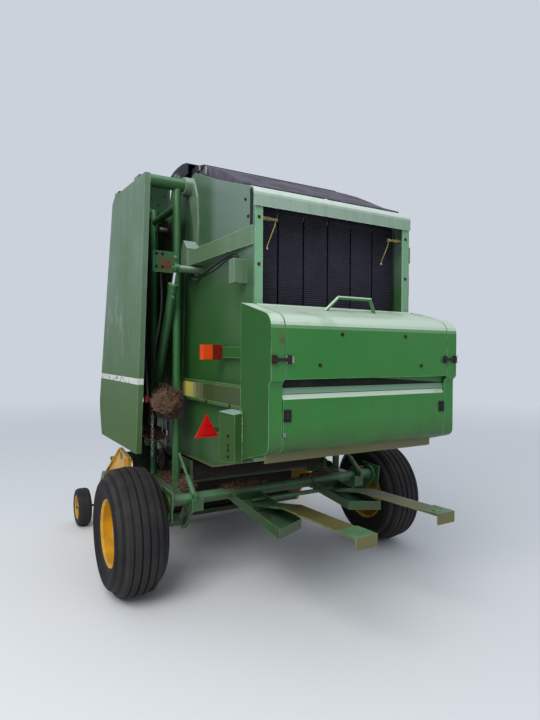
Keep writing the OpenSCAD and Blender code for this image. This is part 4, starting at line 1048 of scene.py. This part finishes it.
def bent_sheet(name, half, skirt, body, profile):
    """A sheet over the chamber along a profile of (Y, Z), its sides folded down to skirt."""
    top = max(z for _, z in profile)
    piece = box_from(name, at(-half, profile[0][0], skirt), at(half, profile[-1][0], top))
    pick(piece, lambda c, n: n.z < -0.9 or abs(n.y) > 0.9)
    bpy.ops.mesh.delete(type="FACE")
    for y, _ in profile[1:-1]:
        cut_across("Y", y - AXLE)
    for y, z in profile:
        row = at(0, y, 0).y
        pick(piece, lambda c, n: abs(c.y - row) < 0.001 and c.z > top - 0.001, "verts")
        bpy.ops.transform.translate(value=(0, 0, z - top))
    pick(piece, lambda c, n: abs(abs(c.x) - half) < 0.001 and abs(n.y) > 0.001 and
         c.z > skirt + 0.01, "edges")
    bpy.ops.mesh.bevel(offset=FOLD_RADIUS, segments=4, affect="EDGES")
    bpy.ops.mesh.select_all(action="SELECT")
    bpy.ops.mesh.normals_make_consistent(inside=False)
    bpy.ops.object.mode_set(mode="OBJECT")
    solid = piece.modifiers.new("thickness", "SOLIDIFY")
    solid.thickness = BELTING
    solid.offset = -1
    bpy.ops.object.modifier_apply(modifier=solid.name)
    bpy.ops.object.mode_set(mode="EDIT")
    return complete(piece, body, apron_rubber, "cover_rubber", angle=50)


front_apron = bent_sheet("front_apron", 0.628, 2.975, "chassis", [
    (0.150, 3.050), (0.200, 3.072), (0.270, 3.086), (0.370, 3.0915), (0.460, 3.088), (0.540, 3.072)])
top_flap = bent_sheet("top_flap", 0.592, 2.960, "tailgate", [
    (-0.060, 2.985), (0.040, 3.0085), (0.080, 3.0165), (0.120, 3.0190), (0.165, 3.0140)])
print("apron", rounded(front_apron.dimensions), "flap", rounded(top_flap.dimensions))


# %% [markdown]
# Clips of bright flat steel hold the sheet's side edges. Each is a folded strip: a flat plate
# whose bottom face is drawn out, then down.

# %% Clips on the top sheet
def model_clip(name, y, z, length):
    piece = box_from(name, at(-0.611, y - 0.011, z - length), at(-0.606, y + 0.011, z + length))
    low = z - length
    pick(piece, lambda c, n: n.z < -0.9)
    draw_out((-0.004, 0, -0.004), (0.9, 1, 1), at(-0.612, y, low - 0.004))
    draw_out((-0.014, -0.006, -0.002), (0.9, 0.9, 1), at(-0.626, y, low - 0.006))
    return complete(piece, "tailgate", bright_steel, "bare_steel", bevel_mm=0.8)


for k, (y, z, length) in enumerate([(-0.035, 2.962, 0.016), (-0.150, 2.912, 0.028)], 1):
    clip = both_sides(model_clip, "clip_" + str(k), "tailgate", y, z, length)
print("clips", rounded(clip.dimensions))


# %% [markdown]
# Where the chamber's front wall meets the hinge there are three cast claws that hold the apron's
# pins. Each begins as a short round boss. The faces that look back and down are drawn out into
# its hook.

# %% Cast claws
def model_claw(name, y, z):
    boss = at(-0.640, y, z)
    piece = begin(name, "cylinder", vertices=24, radius=0.026, depth=0.054, place=boss, turn=ALONG_X)
    pick(piece, lambda c, n: n.x < -0.9)
    bpy.ops.mesh.inset(thickness=0.008)
    draw_out((-0.008, 0, 0), (1, 0.85, 0.85), boss)
    pick(piece, lambda c, n: n.y < -0.55 and n.z < 0.35 and abs(n.x) < 0.1)
    draw_out((0, -0.026, -0.016), (0.7, 0.8, 0.7), boss + Vector((0, -0.050, -0.016)))
    draw_out((0, -0.006, -0.024), (0.9, 0.9, 0.7), boss + Vector((0, -0.056, -0.040)))
    return complete(piece, "chassis", cast_iron, "dark_steel", bevel_mm=2.0)


for k, (y, z) in enumerate([(0.319, 2.992), (0.262, 2.935), (0.226, 2.860)], 1):
    claw = both_sides(model_claw, "claw_" + str(k), "chassis", y, z)
print("claws", rounded(claw.dimensions))

# %% [markdown]
# In front of the chains a dark sheet closes the space between each side shield and the chamber,
# so no daylight shows there. It is one pressed sheet. Its lower corners are moved forward until
# it lies along the shield's front edge, and a flange is drawn back along its outer edge. A
# low sheet and a top panel, each with a pressed middle, close the gaps under and over it. All
# three stand in for the shade there, and their dark enamel is painted shade.

# %% Sheets behind the shields
SHEET_TOP, SHEET_FOOT, SHEET_FLANGE = 2.842, 1.300, -0.965


def sheet_y(z):
    """Where the leaning sheet's rear face is at a height, from under the axle."""
    return 0.765 + (SHEET_TOP - z) * 0.2918


def model_front_sheet(name):
    upper, lower = sheet_y(SHEET_TOP), sheet_y(SHEET_FOOT)
    piece = box_from(name, at(-0.984, upper, SHEET_FOOT), at(-0.500, upper + 0.004, SHEET_TOP))
    pick(piece, lambda c, n: c.z < 1.4, "verts")
    bpy.ops.transform.translate(value=(0, lower - upper, 0))
    pick(piece, lambda c, n: c.z < 1.4 and c.x < -0.9, "verts")
    bpy.ops.transform.translate(value=(-0.024, 0, 0))
    cut_across("X", SHEET_FLANGE)
    cut_across("X", -0.790)
    pick(piece, lambda c, n: n.y < -0.8 and c.x < SHEET_FLANGE)
    draw_out((0, -0.018, 0))
    pick(piece, lambda c, n: n.y < -0.8 and SHEET_FLANGE < c.x < -0.790)
    bpy.ops.mesh.inset(thickness=0.030)
    draw_out((0, 0.003, 0))
    return complete(piece, "chassis", painted_shade_enamel, "frame_green", bevel_mm=1.0)


def model_low_sheet(name):
    piece = box_from(name, at(-0.900, 0.648, 0.650), at(-0.742, 0.652, 1.020))
    pick(piece, lambda c, n: n.y < -0.9)
    bpy.ops.mesh.inset(thickness=0.020)
    draw_out((0, -0.006, 0), (0.95, 1, 0.95), at(-0.821, 0.642, 0.835))
    return complete(piece, "chassis", painted_shade_enamel, "frame_green", bevel_mm=1.0)


def model_top_panel(name):
    piece = box_from(name, at(-0.880, 0.630, 2.730), at(-0.600, 0.634, 3.025))
    pick(piece, lambda c, n: c.x < -0.8 and c.z > 2.9, "verts")
    bpy.ops.transform.translate(value=(0, 0, -0.055))
    pick(piece, lambda c, n: n.y < -0.9)
    bpy.ops.mesh.inset(thickness=0.012)
    draw_out((0, 0.002, 0))
    return complete(piece, "chassis", painted_shade_panel_enamel, "frame_green", bevel_mm=0.8)


for model, part in ((model_front_sheet, "front_sheet"), (model_low_sheet, "low_sheet"),
                    (model_top_panel, "top_panel")):
    left_sheet = both_sides(model, part, "chassis")
sheet_bolt = model_bolt("sheet_bolt", 0.012, 0.020, 0.007, oily_steel)
for k, (x, z) in enumerate([(0.765, 2.90), (0.650, 2.93), (0.760, 2.79), (0.655, 2.78), (0.705, 2.85)]):
    for side, word in SIDES:
        copy_to(sheet_bolt, "sheet_bolt_" + str(k + 1) + "_" + word, at(side * x, 0.632, z), REAR,
                "chassis", spin=k)
bpy.data.objects.remove(sheet_bolt)
print("closing sheets", rounded(left_sheet.dimensions))

# %% [markdown]
# A black rubber strip seals the joint between the side sheet and the rear post. It is drawn
# along the edge in short steps, each a little in or out, as an old strip does.

# %% Edge strips
STRIP_FOOT, STRIP_STEP = 2.330, 0.022


def model_edge_strip(name):
    piece = box_from(name, at(-0.620, -0.862, STRIP_FOOT), at(-0.612, -0.838, STRIP_FOOT + STRIP_STEP))
    wanders = [0.000, 0.003, -0.002, 0.002, -0.003, 0.001, 0.002, -0.002, 0.001, 0.0, 0.002]
    for k, wander in enumerate(wanders):
        pick(piece, lambda c, n: n.z > 0.8 and c.z > STRIP_FOOT + 0.017 + STRIP_STEP * k)
        draw_out((0, wander, STRIP_STEP))
    return complete(piece, "tailgate", black_plastic, "black_plastic", bevel_mm=1.5)


left_edge = both_sides(model_edge_strip, "edge_strip", "tailgate")
print("edge strips", rounded(left_edge.dimensions))

# %% [markdown]
# Under the box hangs a bent angle of olive sheet that carries the door's seal. Below the
# chamber, behind the pickup, a curved pan of dark sheet steel closes the feed opening. Its
# near-black caked hay is partly real hay and partly painted shade for the shadow in that opening.

# %% Rail under the box and crop pan
RAIL_FRONT, RAIL_FOLD = -1.136, 1.096
piece = box_from("box_rail", at(-0.684, -1.142, 1.050), at(0.540, RAIL_FRONT, 1.101))
cut_across("Z", RAIL_FOLD)
pick(piece, lambda c, n: n.y > 0.9 and c.z > RAIL_FOLD)
draw_out((0, 0.050, -0.014))
pick(piece, lambda c, n: n.z < -0.9 and c.y < at(0, RAIL_FRONT, 0).y)
draw_out((0, 0.010, -0.006))
box_rail = complete(piece, "tailgate", rail_paint, "ramp_olive", bevel_mm=1.0)

# The pan's near-black caked hay is partly painted shade, for the shadow in the feed opening.
piece = box_from("crop_pan", at(-0.862, 1.050, 0.600), at(0.862, 1.054, 0.620))
for forward, down in ((-0.012, -0.10), (-0.006, -0.12), (0.018, -0.12), (0.045, -0.10), (0.060, -0.06)):
    lowest = min(v.co.z for v in bmesh.from_edit_mesh(piece.data).verts)
    pick(piece, lambda c, n: n.z < -0.5 and c.z < lowest + 0.004)
    draw_out((0, forward, down))
crop_pan = complete(piece, "pickup", caked_straw, "dark_steel", bevel_mm=0.8)
print("rail and pan", rounded(box_rail.dimensions), rounded(crop_pan.dimensions))

# %% [markdown]
# The control valve has a red knob on a dark stem toward the shield, a bent handle of bright rod
# below it, and a length of chain. A chain link is a torus stretched in one direction. Each link
# is turned a quarter from the one above.

# %% Red knob, handle and chain
knob_axis = at(-0.935, 0.095, 1.305)
piece = begin("red_knob", "cylinder", vertices=28, radius=0.012, depth=0.020, place=knob_axis,
              turn=ALONG_X)
pick(piece, lambda c, n: n.x < -0.9)
for run, size in ((0.002, 1.9), (0.004, 1.25), (0.014, 1.0), (0.005, 0.78), (0.002, 0.5)):
    draw_out((-run, 0, 0), (1, size, size), knob_axis)
complete(piece, "chassis", knob_red, "reflector", bevel_mm=0.6)
for name, corners, radius, metal, slot, bend in (
        ("knob_stem", [(-0.866, 0.095, 1.305), (-0.926, 0.095, 1.305)], 0.007, oily_steel, "dark_steel", 0.012),
        ("valve_handle", [(-0.800, 0.205, 1.176), (-0.800, 0.205, 1.045), (-0.806, 0.085, 1.036),
                          (-0.806, 0.085, 1.075)], 0.006, bright_steel, "bare_steel", 0.012),
        ("chain_hook", [(-0.864, 0.130, 1.215), (-0.903, 0.130, 1.215), (-0.903, 0.130, 1.196),
                        (-0.896, 0.130, 1.190)], 0.004, rusty_steel, "dark_steel", 0.006)):
    bent_rod(name, [at(*corner) for corner in corners], radius, "chassis", metal, slot, bend)
LINKS, LINK_STEP = 15, 0.0205
piece = begin("chain_link", "torus", major_radius=0.0085, minor_radius=0.0022, major_segments=18,
              minor_segments=8)
bpy.ops.transform.resize(value=(1, 1.55, 1), center_override=(0, 0, 0))
link = complete(piece, "chassis", rubbed_zinc, "bare_steel")
for k in range(LINKS):
    sway = 0.0012 * math.sin(k * 1.7)
    copy_to(link, "chain_link_" + str(k + 1), at(-0.900 + sway, 0.130, 1.186 - LINK_STEP * k),
            (0, 1, 0) if k % 2 else (1, 0, 0), "chassis")
bpy.data.objects.remove(link)
print("chain of", LINKS, "links")


# %% [markdown]
# Chopped hay gathers wherever it is left alone: on the valve, behind the post, over the struts
# and under the box. Each heap is a rough lump with a hundred or more loose stalks in it. The
# stalks are one curve object with many thin splines, turned into a mesh, and a seed fixes each
# heap.

# %% Hay
def loose_stalks(name, centre, size, stalks, seed, long):
    """Thin bent stalks about a heap, each up to long metres, in one curve."""
    drawn = random.Random(seed)
    curve = new_curve(name, radius=0.0014, resolution=0, capped=False)
    for _ in range(stalks):
        way = Vector((drawn.gauss(0, 1), drawn.gauss(0, 1), drawn.gauss(0, 0.7))).normalized()
        root = centre + Vector((way.x * size.x, way.y * size.y, way.z * size.z)) * 0.46
        along = Vector((drawn.uniform(-1, 1), drawn.uniform(-1, 1), drawn.uniform(-0.8, 0.4))).normalized()
        reach = drawn.uniform(0.4, 1.0) * long
        bend = Vector((drawn.uniform(-1, 1), drawn.uniform(-1, 1), drawn.uniform(-1, 0.3))) * reach * 0.15
        spline = curve.splines.new("POLY")
        spline.points.add(3)
        for k, point in enumerate(spline.points):
            t = k / 3 - 0.5
            point.co = (*(root + along * reach * t + bend * (1 - 4 * t * t)), 1)
            point.radius = 1.0 - 0.5 * abs(t)
    return curve


def model_heap(name, centre, size, stalks, seed, long):
    """A rough lump of hay about a centre, and its loose stalks as a second piece."""
    size = Vector(size)
    piece = begin(name, "ico_sphere", subdivisions=4, radius=1)
    bpy.ops.mesh.select_all(action="SELECT")
    bpy.ops.transform.vertex_random(offset=0.26, uniform=0.7, normal=0.3, seed=seed)
    bpy.ops.mesh.vertices_smooth(factor=0.4, repeat=1)
    bpy.ops.transform.resize(value=size / 2, center_override=(0, 0, 0))
    bpy.ops.transform.translate(value=centre)
    complete(piece, "chassis", old_straw, "dark_steel", angle=70)
    name = name + "_stalks"
    curve = loose_stalks(name, centre, size, stalks, seed, long)
    complete(curve_to_mesh(name, curve), "chassis", dry_straw, "dark_steel")


heaps = [
    ("valve_heap", at(-0.800, 0.090, 1.350), (0.160, 0.270, 0.060), 160, 3, 0.10),
    ("valve_side_heap", at(-0.850, -0.030, 1.290), (0.190, 0.130, 0.165), 320, 5, 0.09),
    ("strut_heap", at(-0.705, -0.050, 0.690), (0.080, 0.160, 0.110), 110, 7, 0.10),
    ("post_heap", at(-0.800, 0.420, 1.010), (0.170, 0.340, 0.100), 110, 11, 0.10),
    ("rail_heap", at(-0.690, 0.330, 0.660), (0.110, 0.420, 0.080), 100, 13, 0.10),
    ("rail_heap_right", at(0.695, 0.330, 0.660), (0.110, 0.420, 0.080), 90, 17, 0.10),
    ("tube_heap", at(-0.30, -0.165, 0.678), (0.360, 0.080, 0.050), 90, 19, 0.11),
    ("tube_heap_right", at(0.34, -0.165, 0.676), (0.300, 0.080, 0.045), 80, 23, 0.11),
]
for heap in heaps:
    model_heap(*heap)
print(len(heaps), "heaps of hay")

# %% Update the scene
bpy.context.view_layer.update()
